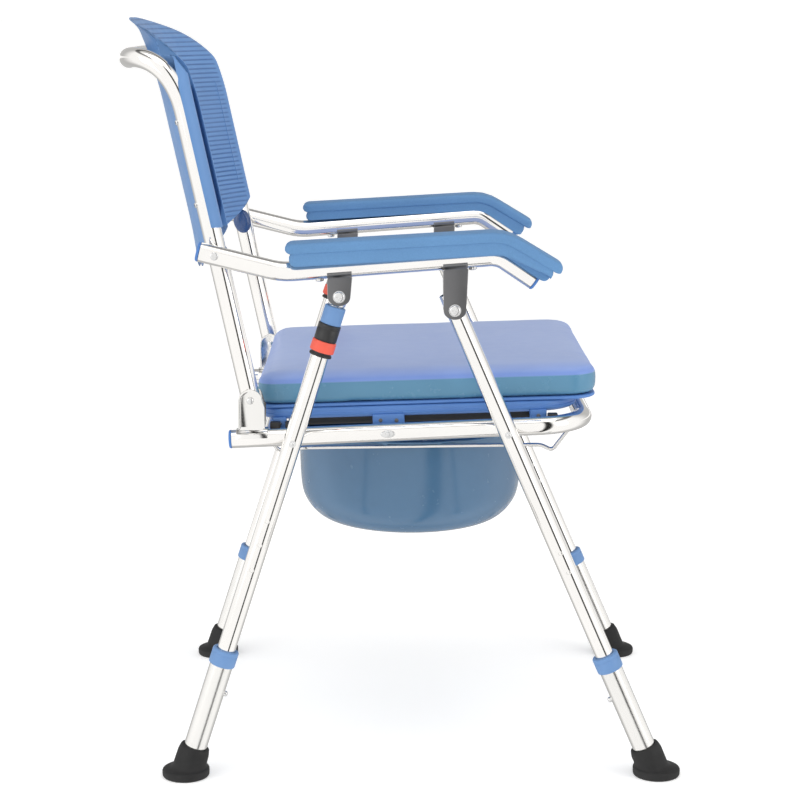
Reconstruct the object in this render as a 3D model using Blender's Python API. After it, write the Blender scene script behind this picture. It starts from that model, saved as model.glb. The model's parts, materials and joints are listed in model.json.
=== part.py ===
"""Folding commode chair: aluminium frame, folding arms, telescoping legs, blue plastic seat and bucket.

Metres, +Z up. The chair faces +X, its left side is +Y, and it stands on z = 0.
The back folds forward over the seat on its hinge brackets. The arms and both pairs of legs fold with it.
"""

import bpy
import bmesh
import math
from mathutils import Matrix, Vector

# ---------------------------------------------------------------- sizes
SHIFT_X = -0.01404           # puts the origin under the middle of the whole chair
FLOOR = -0.0022              # level of the floor before the shift
SHIFT = (SHIFT_X, 0.0, -FLOOR)
Y_IN = 0.2130                # plane of the seat tube and the back tube
Y_OUT = 0.2415               # plane of the legs and the arms

R_SEAT = 0.0110              # seat tube, 22 mm
R_BACK = 0.0115              # back tube, 23 mm
R_ARM = 0.0115               # arm tube, 23 mm
R_LEG = 0.0110               # upper leg tube, 22 mm
R_LOW = 0.0140               # lower leg tube, 28 mm
WALL = 0.0015
SEG = 14                     # sides of a tube

P1 = (-0.1993, 0.6301)       # arm to back tube
P2 = (-0.0560, 0.5832)       # rear strut to arm bracket
P3 = (0.0778, 0.5672)        # front leg to arm bracket
P4 = (-0.1621, 0.4560)       # back tube to seat bracket
P5 = (-0.1116, 0.4093)       # rear leg to seat tube
P6 = (0.1414, 0.4198)        # front leg to seat tube
FOOT_REAR = (-0.2447, FLOOR)
FOOT_FRONT = (0.3250, FLOOR)

SEAT_SLOPE = 0.0425          # rise of the seat tube towards the front
BOARD_SLOPE = 0.0300
LEAN = (-0.2093, 0.9779)     # direction of the back tube

BLUE = (0.075, 0.185, 0.42)
BLUE_PAD = (0.07, 0.20, 0.46)
PERIWINKLE = (0.26, 0.34, 0.66)
TEAL = (0.06, 0.17, 0.28)
NAVY = (0.02, 0.06, 0.18)
ALU = (0.78, 0.77, 0.75)
STEEL = (0.18, 0.18, 0.19)
BLACK = (0.012, 0.012, 0.013)
RED = (0.72, 0.07, 0.05)
BUCKET_BLUE = (0.045, 0.13, 0.24)


# ---------------------------------------------------------------- scene
def clear_scene():
    for obj in list(bpy.data.objects):
        bpy.data.objects.remove(obj, do_unlink=True)


def make_material(name, rgb, rough, metal=0.0):
    mat = bpy.data.materials.new(name)
    mat.use_nodes = True
    shader = mat.node_tree.nodes["Principled BSDF"]
    shader.inputs["Base Color"].default_value = (*rgb, 1.0)
    shader.inputs["Roughness"].default_value = rough
    shader.inputs["Metallic"].default_value = metal
    mat.diffuse_color = (*rgb, 1.0)
    return mat


BODIES = {}


def body(name, pos, parent=None):
    """An empty on the joint axis of a moving body. pos is before the shift."""
    empty = bpy.data.objects.new("axis_" + name, None)
    empty.empty_display_size = 0.03
    bpy.context.scene.collection.objects.link(empty)
    here = Vector(pos) + Vector(SHIFT)
    if parent is None:
        empty.location = here
    else:
        empty.parent = BODIES[parent][0]
        empty.location = here - BODIES[parent][1]
    BODIES[name] = (empty, here)


def add(name, bm, material, on, smooth=True):
    """Puts the mesh in the scene as one named part of a body, with its origin on the body's axis."""
    empty, here = BODIES[on]
    bmesh.ops.recalc_face_normals(bm, faces=bm.faces)
    move = Vector(SHIFT) - here
    bmesh.ops.translate(bm, verts=bm.verts, vec=move)
    mesh = bpy.data.meshes.new(name)
    bm.to_mesh(mesh)
    bm.free()
    for face in mesh.polygons:
        face.use_smooth = smooth
    obj = bpy.data.objects.new(name, mesh)
    obj.data.materials.append(material)
    bpy.context.scene.collection.objects.link(obj)
    obj.parent = empty
    return obj


def cut(obj, bm, on, label, operation="DIFFERENCE"):
    """A Boolean with a hidden helper solid."""
    helper = add("cut_" + obj.name + "_" + label, bm, obj.data.materials[0], on, smooth=False)
    helper.hide_render = True
    helper.display_type = "WIRE"
    boolean = obj.modifiers.new("cut_" + label, "BOOLEAN")
    boolean.operation = operation
    boolean.solver = "EXACT"
    boolean.object = helper
    return helper


# ---------------------------------------------------------------- shape helpers
def fillet(points, radii, steps=5):
    """A polyline with its inner corners rounded."""
    points = [Vector(p) for p in points]
    path = [points[0]]
    for k in range(1, len(points) - 1):
        radius = radii[k - 1]
        a = (points[k - 1] - points[k]).normalized()
        b = (points[k + 1] - points[k]).normalized()
        angle = a.angle(b)
        if radius <= 0 or angle > math.pi - 1e-3:
            path.append(points[k])
            continue
        reach = radius / math.tan(angle / 2)
        centre = points[k] + (a + b).normalized() * (radius / math.sin(angle / 2))
        start, end = points[k] + a * reach - centre, points[k] + b * reach - centre
        turn = start.angle(end)
        for i in range(steps + 1):
            t = i / steps
            arm = (start * math.sin((1 - t) * turn) + end * math.sin(t * turn)) / math.sin(turn)
            path.append(centre + arm)
    path.append(points[-1])
    return path


def frames(path):
    """A rotation-minimising pair of side vectors at each point of a path."""
    tangents = []
    for k in range(len(path)):
        before = path[k] - path[k - 1] if k else path[1] - path[0]
        after = path[k + 1] - path[k] if k < len(path) - 1 else path[k] - path[k - 1]
        tangents.append((before.normalized() + after.normalized()).normalized())
    side = Vector((0, 1, 0))
    if abs(tangents[0].dot(side)) > 0.9:
        side = Vector((0, 0, 1))
    out = []
    for t in tangents:
        side = (side - t * side.dot(t)).normalized()
        out.append((side.copy(), t.cross(side).normalized()))
    return out


def sweep(path, radius, inner=None, seg=SEG):
    """A tube along a path, hollow and open at both ends when inner is given."""
    path = [Vector(p) for p in path]
    bm = bmesh.new()
    sides = frames(path)

    def ring(k, r):
        u, v = sides[k]
        return [
            bm.verts.new(path[k] + u * (r * math.cos(2 * math.pi * i / seg)) + v * (r * math.sin(2 * math.pi * i / seg)))
            for i in range(seg)
        ]

    outer = [ring(k, radius) for k in range(len(path))]
    shells = [outer]
    if inner is not None:
        shells.append([ring(k, inner) for k in range(len(path))])
    for rings in shells:
        for a, b in zip(rings, rings[1:]):
            for i in range(seg):
                j = (i + 1) % seg
                bm.faces.new((a[i], a[j], b[j], b[i]))
    for k in (0, -1):
        if inner is None:
            bm.faces.new(outer[k])
        else:
            a, b = shells[0][k], shells[1][k]
            for i in range(seg):
                j = (i + 1) % seg
                bm.faces.new((a[i], a[j], b[j], b[i]))
    return bm


def lathe(profile, base, axis, seg=20, closed=True):
    """Turns a closed profile of (radius, distance along axis) about an axis through base."""
    base, axis = Vector(base), Vector(axis).normalized()
    u = axis.orthogonal().normalized()
    v = axis.cross(u).normalized()
    bm = bmesh.new()
    rings = []
    for r, d in profile:
        centre = base + axis * d
        if r < 1e-7:
            rings.append([bm.verts.new(centre)])
        else:
            rings.append(
                [
                    bm.verts.new(centre + (u * math.cos(2 * math.pi * i / seg) + v * math.sin(2 * math.pi * i / seg)) * r)
                    for i in range(seg)
                ]
            )
    pairs = list(zip(rings, rings[1:]))
    if closed:
        pairs.append((rings[-1], rings[0]))
    for a, b in pairs:
        if len(a) == 1 and len(b) == 1:
            continue
        for i in range(seg):
            j = (i + 1) % seg
            if len(a) == 1:
                bm.faces.new((a[0], b[j], b[i]))
            elif len(b) == 1:
                bm.faces.new((a[i], a[j], b[0]))
            else:
                bm.faces.new((a[i], a[j], b[j], b[i]))
    return bm


def rings_solid(rings, closed=False):
    """A closed skin over rings of points: flat caps at both ends, or joined round when closed."""
    bm = bmesh.new()
    made = [[bm.verts.new(Vector(p)) for p in ring] for ring in rings]
    count = len(made[0])
    pairs = list(zip(made, made[1:]))
    if closed:
        pairs.append((made[-1], made[0]))
    for a, b in pairs:
        for i in range(count):
            j = (i + 1) % count
            bm.faces.new((a[i], a[j], b[j], b[i]))
    if not closed:
        bm.faces.new(made[0])
        bm.faces.new(made[-1])
    return bm


def prism_y(outline, y0, y1, soft=0.0):
    """An outline in X and Z, extruded along Y, with its two long edges eased by soft."""
    middle = Vector((sum(p[0] for p in outline) / len(outline), sum(p[1] for p in outline) / len(outline)))
    if soft <= 0:
        return rings_solid([[(x, y, z) for x, z in outline] for y in (y0, y1)])
    inner = offset(outline, -soft)
    rings = [
        [(x, y0, z) for x, z in inner],
        [(x, y0 + soft, z) for x, z in outline],
        [(x, y1 - soft, z) for x, z in outline],
        [(x, y1, z) for x, z in inner],
    ]
    return rings_solid(rings)


def offset(outline, grow):
    """Moves each corner of an outline out by grow, or in when it is negative."""
    count = len(outline)
    area = sum(
        outline[i][0] * outline[(i + 1) % count][1] - outline[(i + 1) % count][0] * outline[i][1] for i in range(count)
    )
    sign = 1.0 if area > 0 else -1.0
    out = []
    for i in range(count):
        p, a, b = Vector(outline[i]), Vector(outline[i - 1]), Vector(outline[(i + 1) % count])
        e0, e1 = (p - a).normalized(), (b - p).normalized()
        n0, n1 = Vector((e0.y, -e0.x)) * sign, Vector((e1.y, -e1.x)) * sign
        n = (n0 + n1).normalized()
        n = n * (grow / max(0.5, n.dot(n0)))
        out.append((p.x + n.x, p.y + n.y))
    return out


def box(x0, x1, y0, y1, z0, z1):
    return rings_solid([[(x, y0, z0), (x, y1, z0), (x, y1, z1), (x, y0, z1)] for x in (x0, x1)])


def rounded_rect(x0, x1, y0, y1, radii, steps=5):
    """Corner points, counter-clockwise from the front left. radii is (front, rear)."""
    out = []
    for cx, cy, start, r in (
        (x1, y1, 0, radii[0]),
        (x0, y1, 90, radii[1]),
        (x0, y0, 180, radii[1]),
        (x1, y0, 270, radii[0]),
    ):
        sx = -1 if cx == x1 else 1
        sy = -1 if cy == y1 else 1
        for i in range(steps + 1):
            a = math.radians(start + 90 * i / steps)
            out.append((cx + sx * r + r * math.cos(a), cy + sy * r + r * math.sin(a)))
    return out


def along(p, q, t):
    """The point t metres from p towards q, both in the X-Z plane."""
    d = (Vector(q) - Vector(p)).normalized()
    return Vector(p) + d * t


def seat_z(x):
    return 0.4159 + SEAT_SLOPE * (x - 0.015)


def board_z(x, z_mid):
    return z_mid + BOARD_SLOPE * (x - 0.015)


# ---------------------------------------------------------------- seat frame (fixed)
def make_seat_frame(m):
    path = []
    corner_x, end_x = 0.2365, -0.1855
    corners = [(end_x, -Y_IN), (corner_x, -Y_IN), (corner_x, Y_IN), (end_x, Y_IN)]
    flat = fillet([(x, y, 0) for x, y in corners], [0.058, 0.058], 7)
    path = [(p.x, p.y, seat_z(p.x)) for p in flat]
    add("seat_frame_tube", sweep(path, R_SEAT, R_SEAT - WALL), m["alu"], "seat_frame")
    bar_x = -0.1420
    add(
        "seat_rear_crossbar",
        sweep([(bar_x, -Y_IN + R_SEAT + 0.0003, 0.4110), (bar_x, Y_IN - R_SEAT - 0.0003, 0.4110)], 0.0075, 0.0062),
        m["alu"],
        "seat_frame",
    )
    for side, s in (("right", -1), ("left", 1)):
        plug = [(0, -0.0030), (0.0098, -0.0030), (0.0111, -0.0018), (0.0111, -0.0003), (0.0091, -0.0003), (0.0091, 0.0120), (0, 0.0120)]
        add(
            "seat_tube_plug_" + side,
            lathe(plug, (end_x, s * Y_IN, seat_z(end_x)), (1, 0, SEAT_SLOPE), 14, closed=False),
            m["blue"],
            "seat_frame",
        )
        # Stamped channel: a base on the seat tube and two cheeks round the back tube.
        x0, x1 = -0.1765, -0.1450
        top, px = P4[1], P4[0]
        arch = [(x0, 0.4205)]
        arch += [(x1, 0.4205)]
        for i in range(9):
            a = math.radians(8 + 164 * i / 8)
            arch.append((px + 0.0140 * math.cos(a), top + 0.0135 * math.sin(a)))
        outer = prism_y(arch, s * Y_IN - 0.0139, s * Y_IN + 0.0139)
        bracket = add("back_hinge_bracket_" + side, outer, m["alu"], "seat_frame", smooth=False)
        cut(bracket, box(x0 - 0.02, x1 + 0.02, s * Y_IN - 0.0119, s * Y_IN + 0.0119, 0.4232, 0.50), "seat_frame", "slot")
        # Bucket rail: one bent wire from the rear crossbar to the front bend.
        rail = fillet(
            [
                (-0.1455, s * 0.1655, 0.4005),
                (-0.1330, s * 0.1640, 0.3836),
                (-0.1000, s * 0.1500, 0.3836),
                (0.1700, s * 0.150, 0.3868),
                (0.1870, s * 0.150, 0.3868),
                (0.2010, s * 0.150, 0.3800),
                (0.2260, s * 0.150, 0.4135),
            ],
            [0.006, 0.02, 0.05, 0.02, 0.006],
            3,
        )
        add("bucket_rail_" + side, sweep(rail, 0.0024, None, 8), m["alu"], "seat_frame")
        # Spacer bushes between the seat tube and the legs.
        for label, p in (("rear", P5), ("front", P6)):
            gap0, gap1 = Y_IN + R_SEAT + 0.0003, Y_OUT - R_LEG - 0.0003
            add(
                "leg_pivot_bush_" + label + "_" + side,
                lathe([(0.0034, gap0), (0.0085, gap0), (0.0085, gap1), (0.0034, gap1)], (p[0], 0, p[1]), (0, s, 0), 12),
                m["bush"],
                "seat_frame",
            )


def make_toilet_seat(m):
    z0, z1 = 0.4315, 0.4448
    outline = rounded_rect(-0.1540, 0.2290, -0.1960, 0.1960, (0.050, 0.035))
    low = offset(outline, -0.006)
    opening = []
    count = len(outline)
    cx, ax, ay = 0.0285, 0.1260, 0.1080
    # The opening has as many points as the outline, so the two skins join with quads.
    for x, y in outline:
        a = math.atan2(y / 0.196, (x - cx) / 0.19)
        opening.append((cx + ax * math.cos(a), ay * math.sin(a)))
    rings = [
        [(x, y, board_z(x, z0)) for x, y in low],
        [(x, y, board_z(x, z0 + 0.004)) for x, y in outline],
        [(x, y, board_z(x, z1)) for x, y in outline],
        [(x, y, board_z(x, z1)) for x, y in opening],
        [(x, y, board_z(x, z0)) for x, y in opening],
    ]
    seat = add("toilet_seat", rings_solid(rings, closed=True), m["blue"], "seat_frame", smooth=False)
    k = 0
    for s in (-1, 1):
        for x, w in ((-0.1290, 0.008), (0.0010, 0.019), (0.1800, 0.010)):
            lug = box(x - w, x + w, min(s * 0.1850, s * 0.1990), max(s * 0.1850, s * 0.1990), board_z(x, z0) - 0.0105, board_z(x, z0) + 0.0050)
            cut(seat, lug, "seat_frame", "lug%d" % k, "UNION")
            k += 1


def make_lid(m):
    outline = rounded_rect(-0.1590, 0.2540, -0.1980, 0.1980, (0.034, 0.024))
    base = offset(outline, -0.004)
    rings = [
        [(x, y, board_z(x, 0.4452)) for x, y in offset(base, -0.001)],
        [(x, y, board_z(x, 0.4462)) for x, y in base],
        [(x, y, board_z(x, 0.4492)) for x, y in base],
    ]
    add("cushion_base", rings_solid(rings), m["blue"], "seat_lid", smooth=False)
    levels = ((0.4495, -0.0015), (0.4520, 0.0), (0.4730, 0.0), (0.4805, -0.0030), (0.4850, -0.0090), (0.4880, -0.0200))
    rings = [[(x, y, board_z(x, z)) for x, y in offset(outline, g)] for z, g in levels]
    add("seat_cushion", rings_solid(rings), m["periwinkle"], "seat_lid")


def make_bucket(m):
    outer = [
        (0.0, 0.2620), (0.0870, 0.2620), (0.1080, 0.2655), (0.1215, 0.2730), (0.1325, 0.2855),
        (0.1390, 0.3000), (0.1415, 0.3200), (0.1425, 0.3500), (0.1435, 0.3875), (0.1560, 0.3885),
        (0.1570, 0.3900), (0.1560, 0.3915), (0.1430, 0.3910),
    ]
    inner = [(0.1408, 0.3870), (0.1397, 0.3500), (0.1388, 0.3205), (0.1365, 0.3015), (0.1305, 0.2878), (0.1200, 0.2755), (0.1070, 0.2682), (0.0865, 0.2648), (0.0, 0.2648)]
    add("bucket", lathe(outer + inner, (0.0290, 0, 0), (0, 0, 1), 28, closed=False), m["bucket"], "bucket")


# ---------------------------------------------------------------- back
def back_axis(z):
    return P4[0] + LEAN[0] / LEAN[1] * (z - P4[1])


def bezier(p0, p1, p2, p3, steps):
    p0, p1, p2, p3 = map(Vector, (p0, p1, p2, p3))
    return [
        p0 * (1 - t) ** 3 + p1 * 3 * t * (1 - t) ** 2 + p2 * 3 * t * t * (1 - t) + p3 * t ** 3
        for t in (i / steps for i in range(steps + 1))
    ]


def make_back_tube(m):
    z_end = P4[1] - 0.0140
    z_bend = 0.7900
    start = Vector((back_axis(z_end), -Y_IN, z_end))
    bend = Vector((back_axis(z_bend), -Y_IN, z_bend))
    half = [start]
    half += bezier(
        bend,
        bend + Vector((LEAN[0], 0, LEAN[1])) * 0.0735,
        (-0.2985, -0.2120, 0.8560),
        (-0.3030, -0.1600, 0.8530),
        9,
    )
    half.append(Vector((-0.3110, -0.0800, 0.8530)))
    half.append(Vector((-0.3140, 0.0, 0.8530)))
    other = [Vector((p.x, -p.y, p.z)) for p in reversed(half[:-1])]
    add("back_frame_tube", sweep(half + other, R_BACK, R_BACK - WALL), m["alu"], "back")


PANEL_HALF = 0.1990          # the dished panel's own edge
EDGE_FORWARD = 0.0190        # how far its side edges stand in front of the back tube's axis
DISH_FORWARD = -0.0400       # and its middle


def dish(y):
    """Front of the dished panel at one y, as a forward distance from the back tube's axis."""
    return DISH_FORWARD + (EDGE_FORWARD - DISH_FORWARD) * (abs(y) / PANEL_HALF) ** 2.2


def panel_limits(y):
    """Bottom and top of the panel at one y."""
    t = min(1.0, abs(y) / PANEL_HALF)
    if abs(y) > PANEL_HALF + 0.0012:
        return 0.6601, 0.8560
    bottom = 0.5885 + 0.0620 * (math.sqrt(t * t + 0.0036) - 0.06) + 0.0132 * t ** 12
    top = 0.9000 - 0.0260 * t ** 2 - 0.0175 * t ** 9
    return bottom, top


def panel_lean(y, z):
    """How the panel curls back at its top and a little at its bottom."""
    t = min(1.0, abs(y) / PANEL_HALF)
    out = 0.0
    if z > 0.795:
        out -= (1.0 + 0.8 * t * t) * (z - 0.795) ** 2
    flare = z - (panel_limits(y)[1] - 0.0160)
    if flare > 0 and abs(y) < PANEL_HALF + 0.0012:
        out -= 26.0 * flare * flare
    if z < 0.66:
        out -= 0.9 * (0.66 - z) ** 2
    return out


def make_backrest(m):
    """A dished panel whose side beads wrap the front of both back tubes, with a slot between bead and panel."""
    ys = [-0.1885, -0.1760, -0.1600] + [-0.1350 + 0.1350 * 2 * i / 8 for i in range(9)] + [0.1600, 0.1760, 0.1885]
    r_in, r_out = 0.0127, 0.0150
    angles = [8, 33, 58, 83, 108, 133, 158]
    levels = [0.0, 0.05, 0.14, 0.27, 0.41, 0.55, 0.69, 0.80, 0.88, 0.94, 1.0]
    rings = []
    for v in levels:
        open_slot = min(1.0, max(0.0, (v - 0.02) / 0.10)) * min(1.0, max(0.0, (0.93 - v) / 0.14))
        deep = 0.0010 + 0.0150 * open_slot

        def half(s):
            """Front points from the lip inward, then rear points from the lip inward."""
            front = [(s * (Y_IN + r_out * math.cos(math.radians(a))), r_out * math.sin(math.radians(a))) for a in angles]
            low, high = 0.0042, dish(0.1965) - 0.0035
            mid = (low + high) / 2
            front += [
                (s * 0.1982, low + (mid - low) * (1 - open_slot) * 0.9),
                (s * (0.1982 - deep), low * 0.7 + (mid - low * 0.7) * (1 - open_slot) * 0.95),
                (s * (0.1982 - deep), mid * 0.8 + 0.0010 + (mid - mid * 0.8) * (1 - open_slot)),
                (s * 0.1985, high - (high - mid) * (1 - open_slot) * 0.9),
                (s * 0.1998, dish(0.1990) - 0.0022),
                (s * 0.1990, dish(0.1990)),
            ]
            rear = [(s * (Y_IN + r_in * math.cos(math.radians(a))), r_in * math.sin(math.radians(a))) for a in angles[:-1]]
            rear += [(s * 0.1993, 0.0), (s * 0.1900, -0.0005)]
            return front, rear

        front_r, rear_r = half(-1)
        front_l, rear_l = half(1)
        front = front_r + [(y, dish(y)) for y in ys] + front_l[::-1]
        rear = rear_r + [(y, min(-0.0020, dish(y) - 0.0040)) for y in ys] + rear_l[::-1]
        ring = []
        for k, (y, x) in enumerate(front + rear[::-1]):
            bottom, top = panel_limits(y)
            z = bottom + (top - bottom) * v
            lean = panel_lean(y, z)
            if abs(y) > PANEL_HALF + 0.0012:
                # A bead stands straight, and thins out where the panel's lip curls back across it.
                reach = dish(PANEL_HALF) + 2.2 * lean + 0.0045
                x, lean = min(x, reach if k < len(front) else reach - 0.0023), 0.0
            ring.append((back_axis(z) + x + lean, y, z))
        rings.append(ring)
    add("backrest_panel", rings_solid(rings), m["blue"], "back")


def make_back(m):
    make_back_tube(m)
    make_backrest(m)
    for side, s in (("right", -1), ("left", 1)):
        face = Y_IN - R_BACK - 0.0003
        centre = Vector((back_axis(0.6260), 0, 0.6260))
        up, across = Vector((LEAN[0], 0, LEAN[1])), Vector((LEAN[1], 0, -LEAN[0]))
        rings = []
        for depth, size in ((0.0, 0.86), (0.0022, 1.0), (0.0050, 0.97), (0.0082, 0.78), (0.0098, 0.45)):
            rings.append(
                [
                    centre
                    + Vector((0, s * (face - depth), 0))
                    + up * (0.0165 * size * math.sin(2 * math.pi * i / 16))
                    + across * (0.0118 * size * math.cos(2 * math.pi * i / 16))
                    for i in range(16)
                ]
            )
        add("arm_pivot_cap_" + side, rings_solid(rings), m["navy"], "back")


# ---------------------------------------------------------------- arms
ARM_PATH = [(-0.2170, 0.6338), (-0.1225, 0.6104), (0.1280, 0.6292), (0.1700, 0.6010)]


def arm_line():
    return fillet([(x, 0, z) for x, z in ARM_PATH], [0.09, 0.030], 5)


def pad_line():
    """The run of the arm tube under the pad, carried a little past the tube's front end."""
    line = arm_line()
    tail = (line[-1] - line[-2]).normalized()
    out = [Vector((-0.1150, 0, line[1].z + 0.0012))]
    out += [p for p in line if p.x > -0.108]
    out.append(line[-1] + tail * 0.0060)
    out.append(line[-1] + tail * 0.0165)
    first = out[1] - out[0]
    out.insert(1, out[0] + first * 0.12)
    return out


def make_arm(m, side, s):
    on = "arm_" + side
    line = arm_line()
    path = [(p.x, s * Y_OUT, p.z) for p in line]
    add("arm_tube_" + side, sweep(path, R_ARM, R_ARM - WALL), m["alu"], on)
    for label, a, b in (("rear", line[0], line[1]), ("front", line[-1], line[-2])):
        plug = [(0, -0.0035), (0.0100, -0.0035), (0.0116, -0.0020), (0.0116, -0.0003), (0.0096, -0.0003), (0.0096, 0.0120), (0, 0.0120)]
        add(
            "arm_plug_" + label + "_" + side,
            lathe(plug, (a.x, s * Y_OUT, a.z), (b.x - a.x, 0, b.z - a.z), 14, closed=False),
            m["blue"],
            on,
        )
    # The pad sits over the tube's upper half and its outer side.
    centre = pad_line()
    profile = [(-0.0100, 0.0072), (-0.0100, 0.0240), (-0.0085, 0.0280), (-0.0045, 0.0305), (0.0130, 0.0315), (0.0305, 0.0305), (0.0345, 0.0280), (0.0360, 0.0240), (0.0360, 0.0055), (0.0345, 0.0035), (0.0128, 0.0035)]
    for a in (35, 65, 95, 122):
        profile.append((0.0122 * math.cos(math.radians(a)), 0.0122 * math.sin(math.radians(a))))
    rings = []
    last = len(centre) - 1
    for k, p in enumerate(centre):
        q = (centre[min(k + 1, last)] - centre[max(k - 1, 0)]).normalized()
        n = Vector((-q.z, 0, q.x))
        ring = []
        drop = max(0.0, p.x - 0.120)
        for y, h in profile:
            if k in (0, last) and h > 0.020:
                h = h - 0.004
            if h < 0.010 and y > 0.012:
                h += 0.20 * drop
            elif h > 0.020:
                h += 0.06 * drop
            ring.append(p + n * h + Vector((0, s * (Y_OUT + y), 0)))
        rings.append(ring)
    add("arm_pad_" + side, rings_solid(rings), m["pad"], on)
    # Inverted channels under the tube that hold the strut and the front leg.
    for label, pivot, x_mid in (("rear", P2, -0.0560), ("front", P3, 0.0778)):
        slope = (ARM_PATH[2][1] - ARM_PATH[1][1]) / (ARM_PATH[2][0] - ARM_PATH[1][0])
        z_mid = ARM_PATH[1][1] + slope * (x_mid - ARM_PATH[1][0]) - R_ARM * math.sqrt(1 + slope * slope) - 0.0004
        w = 0.0145
        outline = [(x_mid - w, z_mid - slope * w), (x_mid + w, z_mid + slope * w)]
        for i in range(9):
            a = math.radians(0 - 180 * i / 8)
            outline.append((pivot[0] + (w - 0.0015) * math.cos(a), pivot[1] + 0.0110 * math.sin(a)))
        bracket = add(
            "leg_bracket_" + label + "_" + side,
            prism_y(outline, s * Y_OUT - 0.0133, s * Y_OUT + 0.0133),
            m["steel"],
            on,
            smooth=False,
        )
        cut(
            bracket,
            box(x_mid - 0.03, x_mid + 0.03, s * Y_OUT - 0.0114, s * Y_OUT + 0.0114, pivot[1] - 0.03, z_mid - 0.0035),
            on,
            "slot",
        )


# ---------------------------------------------------------------- legs
def leg_dir(p, q):
    d = (Vector(q) - Vector(p)).normalized()
    return Vector((d.x, 0, d.y))


def make_lower_leg(m, label, side, s, top, foot, ring_t, button_t, out):
    """The 28 mm tube with its clamp ring, its foot and its button."""
    d = leg_dir(top, foot)
    base = Vector((top[0], s * Y_OUT, top[1]))
    length = (Vector(foot) - Vector(top)).length
    on = "lower_leg_%s_%s" % (label, side)
    upper = "%s_leg_%s" % (label, side)
    n = Vector((d.z, 0, -d.x)) * (-1 if out == "front" else 1)
    if (n.x > 0) != (out == "front"):
        n = -n
    t0, t1 = ring_t + 0.0030, length - 0.0155
    tube = add(
        "lower_leg_tube_%s_%s" % (label, side),
        sweep([base + d * t0, base + d * t1], R_LOW, R_LOW - 0.0022, 16),
        m["alu"],
        on,
    )
    spot = base + d * button_t
    cut(tube, lathe([(0, 0.008), (0.0042, 0.008), (0.0042, 0.018), (0, 0.018)], spot, n, 10, closed=False), on, "hole")
    ring = [
        (R_LEG + 0.0004, 0.0), (0.0148, 0.0), (0.0160, 0.0015), (0.0160, 0.0190), (0.0152, 0.0200),
        (R_LOW + 0.0003, 0.0200), (R_LOW + 0.0003, 0.0027), (R_LEG + 0.0004, 0.0027),
    ]
    add("clamp_ring_%s_%s" % (label, side), lathe(ring, base + d * ring_t, d, 20), m["ring"], on)
    # Foot: a boot round the tube on a flat round pad.
    u = Vector((0, 1, 0))
    v = d.cross(u).normalized()
    seg = 20
    floor = Vector((foot[0], s * Y_OUT, FLOOR))
    flat_u, flat_v = Vector((0, 1, 0)), Vector((-1, 0, 0)) if v.x < 0 else Vector((1, 0, 0))

    def tilted(t, r):
        c = base + d * t
        return [c + (u * math.cos(2 * math.pi * i / seg) + v * math.sin(2 * math.pi * i / seg)) * r for i in range(seg)]

    def level(z, r, shift=0.0):
        c = floor + Vector((shift, 0, z))
        return [c + (flat_u * math.cos(2 * math.pi * i / seg) + flat_v * math.sin(2 * math.pi * i / seg)) * r for i in range(seg)]

    lean = d.x / d.z
    rings = [
        level(0.0, 0.0262), level(0.0022, 0.0284), level(0.0085, 0.0285), level(0.0118, 0.0232, lean * 0.0100),
        level(0.0150, 0.0206, lean * 0.0150),
        tilted(length - 0.0280, 0.0186), tilted(length - 0.0395, 0.0170), tilted(length - 0.0395, R_LOW + 0.0003),
        tilted(length - 0.0150, R_LOW + 0.0003),
    ]
    add("foot_%s_%s" % (label, side), rings_solid(rings), m["rubber"], on)
    # Button: a round-ended pin through the lower tube's wall, in line with a hole in the upper tube.
    pin = [(0, 0.0113), (0.0034, 0.0113), (0.0034, 0.0160), (0.0024, 0.0176), (0, 0.0182)]
    add("leg_button_%s_%s" % (label, side), lathe(pin, spot, n, 10, closed=False), m["alu"], "button_%s_%s" % (label, side))
    return spot, n, upper


def make_front_leg(m, side, s):
    d = leg_dir(P3, FOOT_FRONT)
    base = Vector((P3[0], s * Y_OUT, P3[1]))
    on = "front_leg_" + side
    tube = add("front_leg_tube_" + side, sweep([base - d * 0.0200, base + d * 0.5600], R_LEG, R_LEG - WALL), m["alu"], on)
    spot, n, _ = make_lower_leg(m, "front", side, s, P3, FOOT_FRONT, 0.4560, 0.5110, "rear")
    cut(tube, lathe([(0, 0.004), (0.0042, 0.004), (0.0042, 0.016), (0, 0.016)], spot, n, 10, closed=False), on, "hole")


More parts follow.
